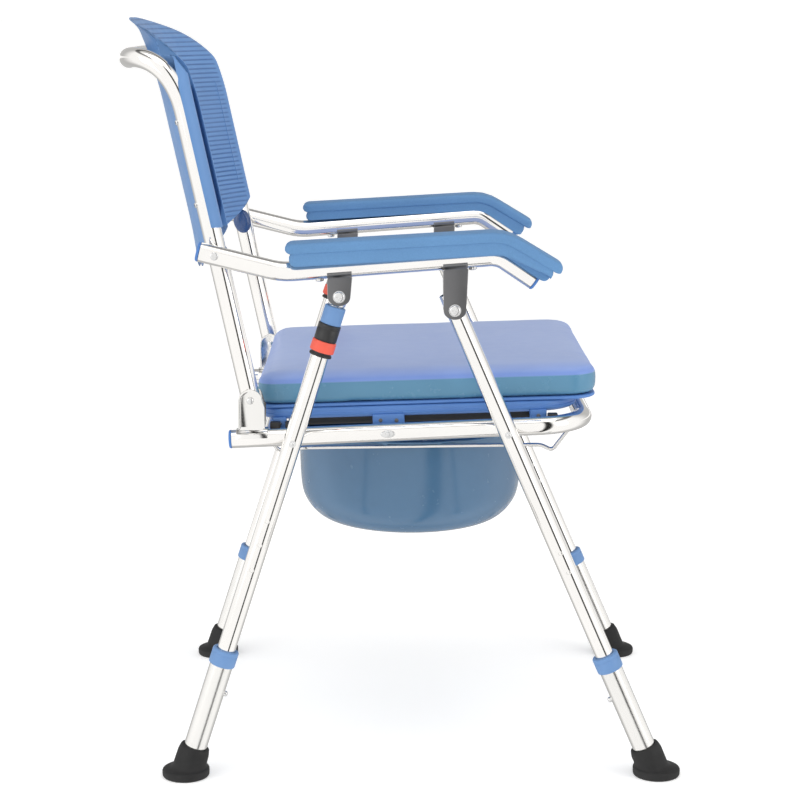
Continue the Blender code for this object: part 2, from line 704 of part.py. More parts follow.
def make_rear_leg(m, side, s):
    d = leg_dir(P2, FOOT_REAR)
    base = Vector((P2[0], s * Y_OUT, P2[1]))
    leg, strut = "rear_leg_" + side, "strut_" + side
    rod = [(0, -0.0105), (0.0085, -0.0105), (0.0107, -0.0080), (0.0107, 0.0110), (0.0086, 0.0125), (0.0086, 0.2500), (0, 0.2500)]
    add("strut_rod_" + side, lathe(rod, base, d, 16, closed=False), m["alu"], strut)
    sleeve = [(0.0089, 0.0132), (0.0113, 0.0132), (0.0124, 0.0146), (0.0124, 0.0349), (0.0089, 0.0349)]
    add("strut_sleeve_" + side, lathe(sleeve, base, d, 20), m["blue"], strut)
    collar = [
        (0.0089, 0.0353), (0.0130, 0.0353), (0.0134, 0.0362), (0.0134, 0.0545), (0.0121, 0.0548), (0.0121, 0.0715),
        (0.0134, 0.0717), (0.0134, 0.0740), (0.0113, 0.0743), (0.0113, 0.0400), (0.0089, 0.0397),
    ]
    add("lock_collar_" + side, lathe(collar, base, d, 20), m["black"], leg)
    ring = [(0.0124, 0.0556), (0.0138, 0.0556), (0.0143, 0.0566), (0.0145, 0.0679), (0.0138, 0.0688), (0.0124, 0.0688)]
    add("lock_ring_" + side, lathe(ring, base, d, 20), m["red"], "lock_ring_" + side)
    tube = add("rear_leg_tube_" + side, sweep([base + d * 0.0404, base + d * 0.5550], R_LEG, R_LEG - WALL), m["alu"], leg)
    spot, n, _ = make_lower_leg(m, "rear", side, s, P2, FOOT_REAR, 0.4480, 0.5020, "front")
    cut(tube, lathe([(0, 0.004), (0.0042, 0.004), (0.0042, 0.016), (0, 0.016)], spot, n, 10, closed=False), leg, "hole")


# ---------------------------------------------------------------- assembly
def main():
    clear_scene()
    m = {
        "alu": make_material("aluminium", ALU, 0.25, 1.0),
        "steel": make_material("bracket_steel", STEEL, 0.45, 0.8),
        "blue": make_material("blue_plastic", BLUE, 0.40),
        "ring": make_material("ring_plastic", (0.08, 0.22, 0.55), 0.38),
        "pad": make_material("arm_pad_vinyl", BLUE_PAD, 0.55),
        "periwinkle": make_material("seat_vinyl", PERIWINKLE, 0.50),
        "teal": make_material("seat_band", TEAL, 0.30),
        "navy": make_material("cap_plastic", NAVY, 0.25),
        "rubber": make_material("rubber", BLACK, 0.70),
        "black": make_material("collar_plastic", (0.02, 0.02, 0.022), 0.45),
        "red": make_material("ring_red", RED, 0.40),
        "bucket": make_material("bucket_plastic", BUCKET_BLUE, 0.25),
        "bush": make_material("bush_plastic", (0.60, 0.60, 0.60), 0.50),
    }
    body("seat_frame", (0.0150, 0, 0.4159))
    body("seat_lid", (-0.1580, 0, 0.4395), "seat_frame")
    body("bucket", (0.0290, 0, 0.3885), "seat_frame")
    body("back", (P4[0], 0, P4[1]), "seat_frame")
    for side, s in (("right", -1), ("left", 1)):
        body("front_leg_" + side, (P6[0], s * Y_OUT, P6[1]), "seat_frame")
        body("arm_" + side, (P3[0], s * Y_OUT, P3[1]), "front_leg_" + side)
        body("rear_leg_" + side, (P5[0], s * Y_OUT, P5[1]), "seat_frame")
        body("strut_" + side, (P2[0], s * Y_OUT, P2[1]), "rear_leg_" + side)
        d = leg_dir(P2, FOOT_REAR)
        ring = Vector((P2[0], 0, P2[1])) + d * 0.0630
        body("lock_ring_" + side, (ring.x, s * Y_OUT, ring.z), "rear_leg_" + side)
        for label, top, foot, ring_t, button_t in (
            ("front", P3, FOOT_FRONT, 0.4560, 0.5110),
            ("rear", P2, FOOT_REAR, 0.4480, 0.5020),
        ):
            d = leg_dir(top, foot)
            p = Vector((top[0], 0, top[1])) + d * ring_t
            body("lower_leg_%s_%s" % (label, side), (p.x, s * Y_OUT, p.z), "%s_leg_%s" % (label, side))
            p = Vector((top[0], 0, top[1])) + d * button_t
            body("button_%s_%s" % (label, side), (p.x, s * Y_OUT, p.z), "lower_leg_%s_%s" % (label, side))
    make_seat_frame(m)
    make_toilet_seat(m)
    make_lid(m)
    make_bucket(m)
    make_back(m)
    for side, s in (("right", -1), ("left", 1)):
        make_arm(m, side, s)
        make_front_leg(m, side, s)
        make_rear_leg(m, side, s)
    bpy.context.view_layer.update()


main()
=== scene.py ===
"""Looks of the folding commode chair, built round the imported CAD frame. Metres, in the frame of the CAD model."""

import json
import math

import bmesh
import bpy
import numpy as np
from mathutils import Matrix, Vector

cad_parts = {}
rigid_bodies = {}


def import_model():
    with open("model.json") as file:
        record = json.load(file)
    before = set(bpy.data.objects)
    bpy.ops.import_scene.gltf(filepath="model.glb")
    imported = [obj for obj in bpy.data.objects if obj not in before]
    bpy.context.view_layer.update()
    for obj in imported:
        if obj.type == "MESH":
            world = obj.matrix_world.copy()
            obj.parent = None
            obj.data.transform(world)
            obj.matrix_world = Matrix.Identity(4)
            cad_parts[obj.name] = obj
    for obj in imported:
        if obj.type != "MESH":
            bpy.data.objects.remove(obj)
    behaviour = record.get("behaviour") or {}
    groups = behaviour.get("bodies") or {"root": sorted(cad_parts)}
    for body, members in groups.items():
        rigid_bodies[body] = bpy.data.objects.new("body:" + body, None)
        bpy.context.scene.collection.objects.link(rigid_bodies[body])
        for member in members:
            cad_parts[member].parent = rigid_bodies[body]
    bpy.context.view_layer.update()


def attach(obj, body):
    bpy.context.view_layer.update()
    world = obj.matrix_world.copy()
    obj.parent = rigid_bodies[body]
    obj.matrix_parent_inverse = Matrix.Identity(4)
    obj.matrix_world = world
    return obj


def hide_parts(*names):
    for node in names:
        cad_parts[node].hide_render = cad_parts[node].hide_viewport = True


for _o in list(bpy.data.objects):
    bpy.data.objects.remove(_o, do_unlink=True)

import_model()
bpy.context.scene.view_settings.view_transform = "Standard"
bpy.context.scene.view_settings.look = "None"

# ---------------------------------------------------------------- the chair's own numbers
SX, SZ = -0.01404, 0.0022
Y_IN, Y_OUT = 0.2130, 0.2415
R_SEAT, R_BACK, R_ARM, R_LEG, R_LOW = 0.0110, 0.0115, 0.0115, 0.0110, 0.0140
P1, P2, P3 = (-0.1993, 0.6301), (-0.0560, 0.5832), (0.0778, 0.5672)
P4, P5, P6 = (-0.1621, 0.4560), (-0.1116, 0.4093), (0.1414, 0.4198)
FOOT_REAR, FOOT_FRONT = (-0.2447, -0.0022), (0.3250, -0.0022)
LEAN = (-0.2093, 0.9779)
SIDES = (("right", -1), ("left", 1))


def W(x, y, z):
    return Vector((x + SX, y, z + SZ))


def seat_z(x):
    return 0.4159 + 0.0425 * (x - 0.015)


def board_z(x, z_mid):
    return z_mid + 0.0300 * (x - 0.015)


def back_axis(z):
    return P4[0] + LEAN[0] / LEAN[1] * (z - P4[1])


# ---------------------------------------------------------------- materials
class Mat:
    """A node material. Maps are made from object-space noise, so nothing depends on UVs or on the camera."""

    def __init__(self, name, color, rough, metal=0.0):
        self.m = bpy.data.materials.new(name)
        self.m.use_nodes = True
        self.t = self.m.node_tree
        self.s = self.t.nodes["Principled BSDF"]
        self.s.inputs["Metallic"].default_value = metal
        self.s.inputs["Roughness"].default_value = rough
        self.s.inputs["Base Color"].default_value = (*color, 1)
        self.color, self.rough = color, rough
        self.co = self.t.nodes.new("ShaderNodeTexCoord").outputs["Object"]
        self.height = None
        self.m.diffuse_color = (*color, 1)

    def node(self, kind, **inputs):
        n = self.t.nodes.new(kind)
        for k, v in inputs.items():
            if k in n.inputs:
                n.inputs[k].default_value = v
            else:
                setattr(n, k, v)
        return n

    def link(self, a, b):
        self.t.links.new(a, b)

    def noise(self, scale, detail=3.0, rough=0.55, stretch=None):
        n = self.node("ShaderNodeTexNoise", Scale=scale, Detail=detail, Roughness=rough)
        if stretch:
            mp = self.node("ShaderNodeMapping", Scale=stretch)
            self.link(self.co, mp.inputs["Vector"])
            self.link(mp.outputs["Vector"], n.inputs["Vector"])
        else:
            self.link(self.co, n.inputs["Vector"])
        return n.outputs["Fac"]

    def spread(self, value, low, high, a=0.3, b=0.7):
        r = self.node("ShaderNodeMapRange")
        r.inputs["From Min"].default_value, r.inputs["From Max"].default_value = a, b
        r.inputs["To Min"].default_value, r.inputs["To Max"].default_value = low, high
        self.link(value, r.inputs["Value"])
        return r.outputs["Result"]

    def mix(self, fac, a, b):
        n = self.node("ShaderNodeMix", data_type="RGBA")
        n.inputs["A"].default_value, n.inputs["B"].default_value = (*a, 1), (*b, 1)
        self.link(fac, n.inputs["Factor"])
        return n.outputs["Result"]

    def blend(self, fac, a, b):
        n = self.node("ShaderNodeMix", data_type="RGBA")
        self.link(a, n.inputs["A"])
        self.link(b, n.inputs["B"])
        self.link(fac, n.inputs["Factor"])
        return n.outputs["Result"]

    def base(self, socket):
        self.link(socket, self.s.inputs["Base Color"])

    def roughness(self, socket):
        self.link(socket, self.s.inputs["Roughness"])

    def add_height(self, value, weight):
        m = self.node("ShaderNodeMath", operation="MULTIPLY")
        self.link(value, m.inputs[0])
        m.inputs[1].default_value = weight
        if self.height is None:
            self.height = m.outputs[0]
        else:
            a = self.node("ShaderNodeMath", operation="ADD")
            self.link(self.height, a.inputs[0])
            self.link(m.outputs[0], a.inputs[1])
            self.height = a.outputs[0]

    def bump(self, distance, strength=1.0):
        b = self.node("ShaderNodeBump", Strength=strength, Distance=distance)
        self.link(self.height, b.inputs["Height"])
        self.link(b.outputs["Normal"], self.s.inputs["Normal"])


def metal(name, color, low, high, bump=0.00002, streak=(1, 1, 1), tint=0.06):
    m = Mat(name, color, (low + high) / 2, 1.0)
    fine = m.noise(900, 2, 0.5, streak)
    wide = m.noise(14, 4, 0.6)
    dark = tuple(c * (1 - tint) for c in color)
    m.base(m.mix(m.spread(wide, 0, 1), dark, color))
    add = m.node("ShaderNodeMath", operation="ADD")
    m.link(m.spread(fine, 0, (high - low) * 0.5), add.inputs[0])
    m.link(m.spread(wide, low, (low + high) / 2), add.inputs[1])
    m.roughness(add.outputs[0])
    m.add_height(fine, 1.0)
    m.bump(bump, 0.5)
    return m.m


def plastic(name, color, rough, grain=0.00004, scale=1500, vary=0.10, gloss=0.5, coat=0.0, dust=0.03):
    m = Mat(name, color, rough)
    m.s.inputs["Specular IOR Level"].default_value = gloss
    m.s.inputs["Coat Weight"].default_value = coat
    m.s.inputs["Coat Roughness"].default_value = 0.12
    wide, fine = m.noise(9, 5, 0.6), m.noise(scale, 3, 0.6)
    light = tuple(min(1, c * (1 + vary) + dust * 0.2) for c in color)
    dark = tuple(c * (1 - vary) for c in color)
    m.base(m.mix(m.spread(wide, 0, 1), dark, light))
    m.roughness(m.spread(m.noise(60, 4, 0.65), rough - 0.06, rough + 0.08))
    m.add_height(fine, 1.0)
    m.bump(grain, 0.6)
    return m.m


def leather(name, color, rough, cell=520, depth=0.00012, vary=0.09, gloss=0.4):
    """A moulded foam or vinyl skin: small rounded cells with pores and soft colour change, and painted shade darkening
    the valleys between the cells.
    """
    m = Mat(name, color, rough)
    m.s.inputs["Specular IOR Level"].default_value = gloss
    v = m.node("ShaderNodeTexVoronoi", Scale=cell, Randomness=1.0)
    v.feature = "SMOOTH_F1"
    v.inputs["Smoothness"].default_value = 0.35
    warp = m.node("ShaderNodeTexNoise", Scale=120.0, Detail=2.0)
    m.link(m.co, warp.inputs["Vector"])
    mixv = m.node("ShaderNodeMix", data_type="VECTOR")
    mixv.inputs["Factor"].default_value = 0.012
    m.link(m.co, mixv.inputs["A"])
    m.link(warp.outputs["Color"], mixv.inputs["B"])
    m.link(mixv.outputs["Result"], v.inputs["Vector"])
    cells = m.spread(v.outputs["Distance"], 1.0, 0.0, 0.0, 0.75)
    wide = m.noise(11, 5, 0.6)
    light = tuple(min(1, c * (1 + vary)) for c in color)
    dark = tuple(c * (1 - vary) for c in color)
    body_c = m.mix(m.spread(wide, 0, 1), dark, light)
    # Painted shade: the valleys between the cells are made darker in colour.
    deep = m.mix(cells, tuple(c * 0.80 for c in color), color)
    soft = m.node("ShaderNodeMix", data_type="RGBA")
    soft.inputs["Factor"].default_value = 0.40
    m.link(body_c, soft.inputs["A"])
    m.link(deep, soft.inputs["B"])
    m.base(soft.outputs["Result"])
    m.roughness(m.spread(cells, rough + 0.12, rough - 0.05, 0, 1))
    m.add_height(cells, 1.0)
    m.add_height(m.noise(240, 3, 0.6), 0.7)
    m.bump(depth, 0.75)
    return m.m


M = {
    "tube": metal("polished_aluminium", (0.90, 0.885, 0.865), 0.05, 0.13, 0.000006, (60, 60, 3)),
    "tube_x": metal("polished_aluminium_level", (0.90, 0.885, 0.865), 0.05, 0.13, 0.000006, (3, 60, 60)),
    "satin": metal("satin_aluminium", (0.87, 0.86, 0.84), 0.16, 0.28, 0.00001, (60, 60, 3)),
    "stamp": metal("stamped_bracket", (0.86, 0.85, 0.83), 0.10, 0.22, 0.00002),
    "gunmetal": metal("dark_bracket", (0.19, 0.19, 0.195), 0.38, 0.55, 0.00006, (1, 1, 1), 0.16),
    "saddle": metal("bracket_saddle", (0.30, 0.30, 0.30), 0.34, 0.48, 0.00004, (1, 1, 1), 0.12),
    "screw": metal("plated_screw", (0.76, 0.76, 0.76), 0.16, 0.30, 0.00002),
    "wire": metal("plated_wire", (0.80, 0.79, 0.78), 0.12, 0.24, 0.000012),
    "blue": plastic("blue_shell", (0.115, 0.265, 0.560), 0.42, 0.00004, 1700, 0.05),
    "seatblue": plastic("blue_seat_board", (0.085, 0.220, 0.560), 0.38, 0.00003, 1500, 0.05),
    "plug": plastic("blue_plug", (0.060, 0.190, 0.520), 0.42, 0.00003, 1500, 0.06),
    "ring": plastic("blue_ring", (0.136, 0.275, 0.540), 0.46, 0.00006, 900, 0.06),
    "cap": plastic("dark_blue_cap", (0.018, 0.065, 0.200), 0.26, 0.00002, 1200, 0.08, 0.6, 0.3),
    "black": plastic("black_collar", (0.016, 0.016, 0.017), 0.42, 0.00004, 900, 0.15),
    "red": plastic("red_ring", (0.820, 0.106, 0.063), 0.42, 0.00005, 900, 0.05),
    "bucket": plastic("bucket_shell", (0.060, 0.150, 0.270), 0.20, 0.000015, 700, 0.05, 0.5, 0.35),
    "bush": plastic("grey_bush", (0.45, 0.45, 0.46), 0.50),
    "rubber": plastic("foot_rubber", (0.013, 0.013, 0.0135), 0.62, 0.00012, 650, 0.20, 0.35),
    "pad": leather("arm_pad_skin", (0.117, 0.272, 0.515), 0.50, 640, 0.00016),
}


def cushion_material():
    """Vinyl: lavender blue with painted light and shade, lighter on the top and darker, bluer on the rounded shoulder,
    over a smooth teal side band.
    """
    m = Mat("seat_vinyl_two_tone_and_painted_shade", (0.30, 0.38, 0.70), 0.42)
    m.s.inputs["Specular IOR Level"].default_value = 0.45
    m.s.inputs["Sheen Weight"].default_value = 0.06
    sep = m.node("ShaderNodeSeparateXYZ")
    m.link(m.co, sep.inputs["Vector"])
    tilt = m.node("ShaderNodeMath", operation="MULTIPLY_ADD")
    m.link(sep.outputs["X"], tilt.inputs[0])
    tilt.inputs[1].default_value = -0.0300
    m.link(sep.outputs["Z"], tilt.inputs[2])
    level = tilt.outputs[0]
    wide, fine = m.noise(8, 5, 0.6), m.noise(1300, 2, 0.5)
    # Painted light and shade: the top colour is lighter and the shoulder colour darker, blended by height over the
    # rounded crown.
    top = m.mix(m.spread(wide, 0, 1), (0.335, 0.440, 0.750), (0.385, 0.490, 0.790))
    shoulder = m.mix(m.spread(wide, 0, 1), (0.175, 0.285, 0.660), (0.205, 0.320, 0.690))
    band = m.mix(m.spread(wide, 0, 1), (0.092, 0.245, 0.388), (0.108, 0.278, 0.430))
    low = m.spread(level, 0, 1, 0.4738 + SZ, 0.4752 + SZ)
    high = m.spread(level, 0, 1, 0.4780 + SZ, 0.4880 + SZ)
    upper = m.blend(high, shoulder, top)
    m.base(m.blend(low, band, upper))
    add = m.node("ShaderNodeMath", operation="ADD")
    m.link(m.spread(low, 0.24, 0.40, 0, 1), add.inputs[0])
    m.link(m.spread(m.noise(70, 4, 0.6), -0.03, 0.05), add.inputs[1])
    m.roughness(add.outputs[0])
    m.add_height(fine, 1.0)
    m.add_height(m.noise(160, 4, 0.6), 0.8)
    m.bump(0.00007, 0.6)
    return m.m


M["cushion"] = cushion_material()


def ribbed_material(pitch, z_from, half):
    """The blue shell with painted shade: its grooves between the raised ribs are darkened in colour."""
    m = Mat("blue_ribbed_shell_painted_groove_shade", (0.115, 0.265, 0.560), 0.40)
    sep = m.node("ShaderNodeSeparateXYZ")
    m.link(m.co, sep.inputs["Vector"])

    def calc(op, a, b=None):
        n = m.node("ShaderNodeMath", operation=op)
        for k, v in enumerate((a, b)):
            if v is None:
                continue
            if isinstance(v, (int, float)):
                n.inputs[k].default_value = v
            else:
                m.link(v, n.inputs[k])
        return n.outputs[0]

    turn = calc("MULTIPLY", calc("SUBTRACT", sep.outputs["Z"], z_from), math.pi / pitch)
    crest = calc("ABSOLUTE", calc("SINE", turn))
    groove_shade = m.spread(crest, 1.0, 0.0, 0.10, 0.75)
    inside = m.spread(calc("ABSOLUTE", sep.outputs["Y"]), 1.0, 0.0, half - 0.004, half)
    geo = m.node("ShaderNodeTexCoord")
    nor = m.node("ShaderNodeSeparateXYZ")
    m.link(geo.outputs["Normal"], nor.inputs["Vector"])
    front = m.spread(nor.outputs["X"], 0.0, 1.0, 0.05, 0.30)
    # Painted shade: this mask darkens the rib grooves on the front faces, inside the ribbed field.
    mask = calc("MULTIPLY", calc("MULTIPLY", groove_shade, inside), front)
    wide = m.noise(9, 5, 0.6)
    shell = m.mix(m.spread(wide, 0, 1), (0.112, 0.246, 0.505), (0.128, 0.276, 0.560))
    # The darker colour is the painted shade of the grooves.
    dark = m.mix(m.spread(wide, 0, 1), (0.058, 0.142, 0.335), (0.070, 0.165, 0.375))
    m.base(m.blend(mask, shell, dark))
    m.roughness(m.spread(m.noise(60, 4, 0.65), 0.34, 0.48))
    m.add_height(m.noise(1700, 3, 0.6), 1.0)
    m.bump(0.00004, 0.6)
    return m.m


M["ribbed"] = ribbed_material(0.0059, 0.0003 + SZ, 0.1955)

# ---------------------------------------------------------------- mesh helpers
COUNT = {}


def unique(name):
    COUNT[name] = COUNT.get(name, 0) + 1
    return name if COUNT[name] == 1 else "%s_%d" % (name, COUNT[name])


def make(name, verts, faces, mat, sharp=40):
    mesh = bpy.data.meshes.new(name)
    mesh.from_pydata([tuple(v) for v in verts], [], faces)
    bm = bmesh.new()
    bm.from_mesh(mesh)
    bmesh.ops.remove_doubles(bm, verts=bm.verts, dist=1e-7)
    bmesh.ops.recalc_face_normals(bm, faces=bm.faces)
    bm.to_mesh(mesh)
    bm.free()
    mesh.polygons.foreach_set("use_smooth", [True] * len(mesh.polygons))
    mesh.set_sharp_from_angle(angle=math.radians(sharp))
    mesh.update()
    obj = bpy.data.objects.new(unique(name), mesh)
    bpy.context.scene.collection.objects.link(obj)
    if mat is not None:
        mesh.materials.append(mat)
    return obj


def place(obj, on, slot, *nodes, pad=None):
    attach(obj, on)
    if nodes:
        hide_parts(*nodes)
    return obj


def loft(rings, closed=False, caps=True):
    """Vertices and faces over rings of equal length."""
    n = len(rings[0])
    verts = [p for ring in rings for p in ring]
    faces = []
    pairs = [(i, i + 1) for i in range(len(rings) - 1)]
    if closed:
        pairs.append((len(rings) - 1, 0))
    for a, b in pairs:
        for i in range(n):
            j = (i + 1) % n
            faces.append((a * n + i, a * n + j, b * n + j, b * n + i))
    if not closed and caps:
        faces.append(tuple(range(n))[::-1])
        faces.append(tuple(range((len(rings) - 1) * n, len(rings) * n)))
    return verts, faces


def fillet(points, radii, steps=12):
    points = [Vector(p) for p in points]
    path = [points[0]]
    for k in range(1, len(points) - 1):
        radius = radii[k - 1]
        a = (points[k - 1] - points[k]).normalized()
        b = (points[k + 1] - points[k]).normalized()
        angle = a.angle(b)
        if radius <= 0 or angle > math.pi - 1e-3:
            path.append(points[k])
            continue
        reach = radius / math.tan(angle / 2)
        centre = points[k] + (a + b).normalized() * (radius / math.sin(angle / 2))
        start, end = points[k] + a * reach - centre, points[k] + b * reach - centre
        turn = start.angle(end)
        for i in range(steps + 1):
            t = i / steps
            path.append(centre + (start * math.sin((1 - t) * turn) + end * math.sin(t * turn)) / math.sin(turn))
    path.append(points[-1])
    return path


def dense(path, step):
    """A polyline resampled at about one step, keeping its bends."""
    path = [Vector(p) for p in path]
    out = [path[0]]
    for a, b in zip(path, path[1:]):
        n = max(1, int(round((b - a).length / step)))
        out += [a.lerp(b, (i + 1) / n) for i in range(n)]
    return out


def frames(path):
    tangents = []
    for k in range(len(path)):
        before = path[k] - path[k - 1] if k else path[1] - path[0]
        after = path[k + 1] - path[k] if k < len(path) - 1 else path[k] - path[k - 1]
        tangents.append((before.normalized() + after.normalized()).normalized())
    side = Vector((0, 1, 0))
    if abs(tangents[0].dot(side)) > 0.9:
        side = Vector((0, 0, 1))
    out = []
    for t in tangents:
        side = (side - t * side.dot(t)).normalized()
        out.append((side.copy(), t.cross(side).normalized(), t.copy()))
    return out


def tube(name, path, radius, mat, seg=36, inner=None, lip=0.0004):
    """A round tube. With inner it is open, with eased edges and a real wall; without it has rounded ends."""
    path = [Vector(p) for p in path]
    fr = frames(path)

    def ring(p, f, r):
        return [p + f[0] * (r * math.cos(2 * math.pi * i / seg)) + f[1] * (r * math.sin(2 * math.pi * i / seg)) for i in range(seg)]

    rings = []
    last = len(path) - 1
    if inner is None:
        for d, r in ((0.0, 0.45), (0.0, 0.80), (0.12, 0.94), (0.35, 1.0)):
            rings.append(ring(path[0] + fr[0][2] * (d * radius), fr[0], radius * r))
        rings += [ring(path[k], fr[k], radius) for k in range(1, last)]
        for d, r in ((0.35, 1.0), (0.12, 0.94), (0.0, 0.80), (0.0, 0.45)):
            rings.append(ring(path[last] - fr[last][2] * (d * radius), fr[last], radius * r))
        v, f = loft(rings)
    else:
        rings.append(ring(path[0], fr[0], radius - lip))
        rings.append(ring(path[0] + fr[0][2] * lip, fr[0], radius))
        rings += [ring(path[k], fr[k], radius) for k in range(1, last)]
        rings.append(ring(path[last] - fr[last][2] * lip, fr[last], radius))
        rings.append(ring(path[last], fr[last], radius - lip))
        rings.append(ring(path[last], fr[last], inner))
        rings += [ring(path[k], fr[k], inner) for k in range(last - 1, 0, -1)]
        rings.append(ring(path[0], fr[0], inner))
        v, f = loft(rings, closed=True)
    return make(name, v, f, mat)


def lathe(name, profile, base, axis, mat, seg=48, closed=False, sharp=40):
    base, axis = Vector(base), Vector(axis).normalized()
    u = axis.orthogonal().normalized()
    v = axis.cross(u).normalized()
    verts, faces, rings = [], [], []
    for r, d in profile:
        c = base + axis * d
        if r < 1e-7:
            rings.append([len(verts)])
            verts.append(c)
        else:
            rings.append(list(range(len(verts), len(verts) + seg)))
            verts += [c + (u * math.cos(2 * math.pi * i / seg) + v * math.sin(2 * math.pi * i / seg)) * r for i in range(seg)]
    pairs = list(zip(rings, rings[1:])) + ([(rings[-1], rings[0])] if closed else [])
    for a, b in pairs:
        if len(a) == 1 and len(b) == 1:
            continue
        for i in range(seg):
            j = (i + 1) % seg
            if len(a) == 1:
                faces.append((a[0], b[j], b[i]))
            elif len(b) == 1:
                faces.append((a[i], a[j], b[0]))
            else:
                faces.append((a[i], a[j], b[j], b[i]))
    return make(name, verts, faces, mat, sharp)


def soften(profile, steps=4):
    """Rounds a polyline profile with a Catmull-Rom curve."""
    p = [Vector((a, b, 0)) for a, b in profile]
    out = []
    for k in range(len(p) - 1):
        p0, p1, p2, p3 = p[max(k - 1, 0)], p[k], p[k + 1], p[min(k + 2, len(p) - 1)]
        for i in range(steps):
            t = i / steps
            q = 0.5 * ((2 * p1) + (p2 - p0) * t + (2 * p0 - 5 * p1 + 4 * p2 - p3) * t * t + (3 * p1 - p0 - 3 * p2 + p3) * t ** 3)
            out.append((max(0.0, q.x), q.y))
    out.append((profile[-1][0], profile[-1][1]))
    return out


def modifier(obj, kind, **values):
    m = obj.modifiers.new(kind.lower(), kind)
    for k, v in values.items():
        setattr(m, k, v)
    return m


def bake(obj, sharp=None):
    """Applies the modifiers, so the piece is one plain mesh."""
    graph = bpy.context.evaluated_depsgraph_get()
    mesh = bpy.data.meshes.new_from_object(obj.evaluated_get(graph), preserve_all_data_layers=True, depsgraph=graph)
    obj.modifiers.clear()
    obj.data = mesh
    mesh.polygons.foreach_set("use_smooth", [True] * len(mesh.polygons))
    if sharp:
        mesh.set_sharp_from_angle(angle=math.radians(sharp))
    return obj


def bevel(obj, width, segments=3, angle=35):
    modifier(obj, "BEVEL", width=width, segments=segments, limit_method="ANGLE", angle_limit=math.radians(angle), harden_normals=False)
    return bake(obj, 50)


def cut(obj, tools):
    """Cuts each tool out of obj."""
    for tool in tools:
        modifier(obj, "BOOLEAN", operation="DIFFERENCE", solver="EXACT", object=tool)
    bpy.context.view_layer.update()
    bake(obj, 40)
    for tool in tools:
        bpy.data.objects.remove(tool, do_unlink=True)
    return obj


def box_verts(c, a, b, n, la, lb, ln):
    """A box about c with half sides la, lb, ln along the directions a, b, n."""
    v = [c + a * (sa * la) + b * (sb * lb) + n * (sn * ln) for sn in (-1, 1) for sb in (-1, 1) for sa in (-1, 1)]
    return v, [(0, 1, 3, 2), (4, 6, 7, 5), (0, 4, 5, 1), (2, 3, 7, 6), (0, 2, 6, 4), (1, 5, 7, 3)]


def screw(name, pos, out, r, h, on, slot="button_steel", kind="cross", washer=0.0, mat=None):
    """A pan-head screw or a domed rivet, its face looking along out."""
    out = Vector(out).normalized()
    mat = mat or M["screw"]
    if kind == "rivet":
        profile = [(0.0, -0.0004), (r, -0.0004), (r, 0.10 * h), (r * 0.97, 0.35 * h), (r * 0.80, 0.72 * h), (r * 0.50, 0.93 * h), (0.0, h)]
    else:
        profile = [(0.0, -0.0004), (r, -0.0004), (r, 0.45 * h), (r * 0.95, 0.72 * h), (r * 0.80, 0.92 * h), (r * 0.60, h), (0.0, h)]
    head = lathe(name, profile, pos, out, mat, 28)
    if kind != "rivet":
        a = out.orthogonal().normalized()
        a = (a + out.cross(a) * 0.6).normalized()
        b = out.cross(a).normalized()
        tools = []
        if kind == "cross":
            for p, q in ((a, b), (b, a)):
                v, f = box_verts(Vector(pos) + out * h, p, q, out, r * 0.55, r * 0.15, h * 0.75)
                tools.append(make("tool", v, f, None))
        else:
            tools.append(lathe("tool", [(0, 0.55 * h), (r * 0.46, 0.55 * h), (r * 0.46, h * 1.5), (0, h * 1.5)], pos, out, None, 6))
        cut(head, tools)
    place(head, on, slot)
    if washer:
        ring = lathe(name + "_washer", [(r * 0.6, -0.0004), (washer, -0.0004), (washer, 0.0006), (washer * 0.96, 0.0010), (r * 0.6, 0.0010)], pos, out, mat, 32, True)
        place(ring, on, slot)
    return head


def hole_ring(name, pos, out, r, on):
    """The dished edge of a height hole on the outer face of a tube, and a black cup set in the hole as painted shade
    for its dark bore.
    """
    rim = lathe(name, [(r * 0.98, -0.0006), (r * 1.45, -0.0004), (r * 1.30, 0.00022), (r * 1.05, 0.00018), (r * 0.98, -0.0002)], pos, out, M["tube"], 24, True)
    place(rim, on, "aluminium")
    # Painted shade: a black cup stands in the hole for the shade of the bore.
    pit = lathe(name + "_bore", [(0, -0.0020), (r * 0.5, -0.0016), (r * 0.97, -0.0003), (r * 0.97, -0.0022), (0, -0.0026)], pos, out, M["black"], 24)
    place(pit, on, "aluminium")

# ---------------------------------------------------------------- camera, light, floor
def look(direction):
    return Vector(direction).to_track_quat("-Z", "Y").to_euler()


PITCH, YAW = 0.185892, 0.006112
cam_data = bpy.data.cameras.new("camera")
cam_data.lens, cam_data.sensor_width = 92.062, 36.0
cam_data.clip_start, cam_data.clip_end = 0.05, 1200
camera = bpy.data.objects.new("camera", cam_data)
camera.location = (-0.01404, -2.59481, 0.90449)
camera.rotation_euler = look((math.sin(YAW) * math.cos(PITCH), math.cos(YAW) * math.cos(PITCH), -math.sin(PITCH)))
bpy.context.scene.collection.objects.link(camera)
bpy.context.scene.camera = camera


def area(name, pos, target, size, energy, size_y=None):
    d = bpy.data.lights.new(name, "AREA")
    d.energy, d.size, d.color = energy, size, (1.0, 0.985, 0.965)
    if size_y:
        d.shape, d.size_y = "RECTANGLE", size_y
    o = bpy.data.objects.new(name, d)
    o.location = pos
    o.rotation_euler = look(Vector(target) - Vector(pos))
    bpy.context.scene.collection.objects.link(o)
    return o


area("key_overhead", (0.2, -0.9, 3.0), (0, 0, 0.4), 2.4, 16, 2.0)
area("fill_left", (-2.6, -2.0, 1.3), (0, 0, 0.5), 1.5, 12, 2.2)
area("fill_right", (2.6, -2.0, 1.3), (0, 0, 0.5), 1.5, 12, 2.2)


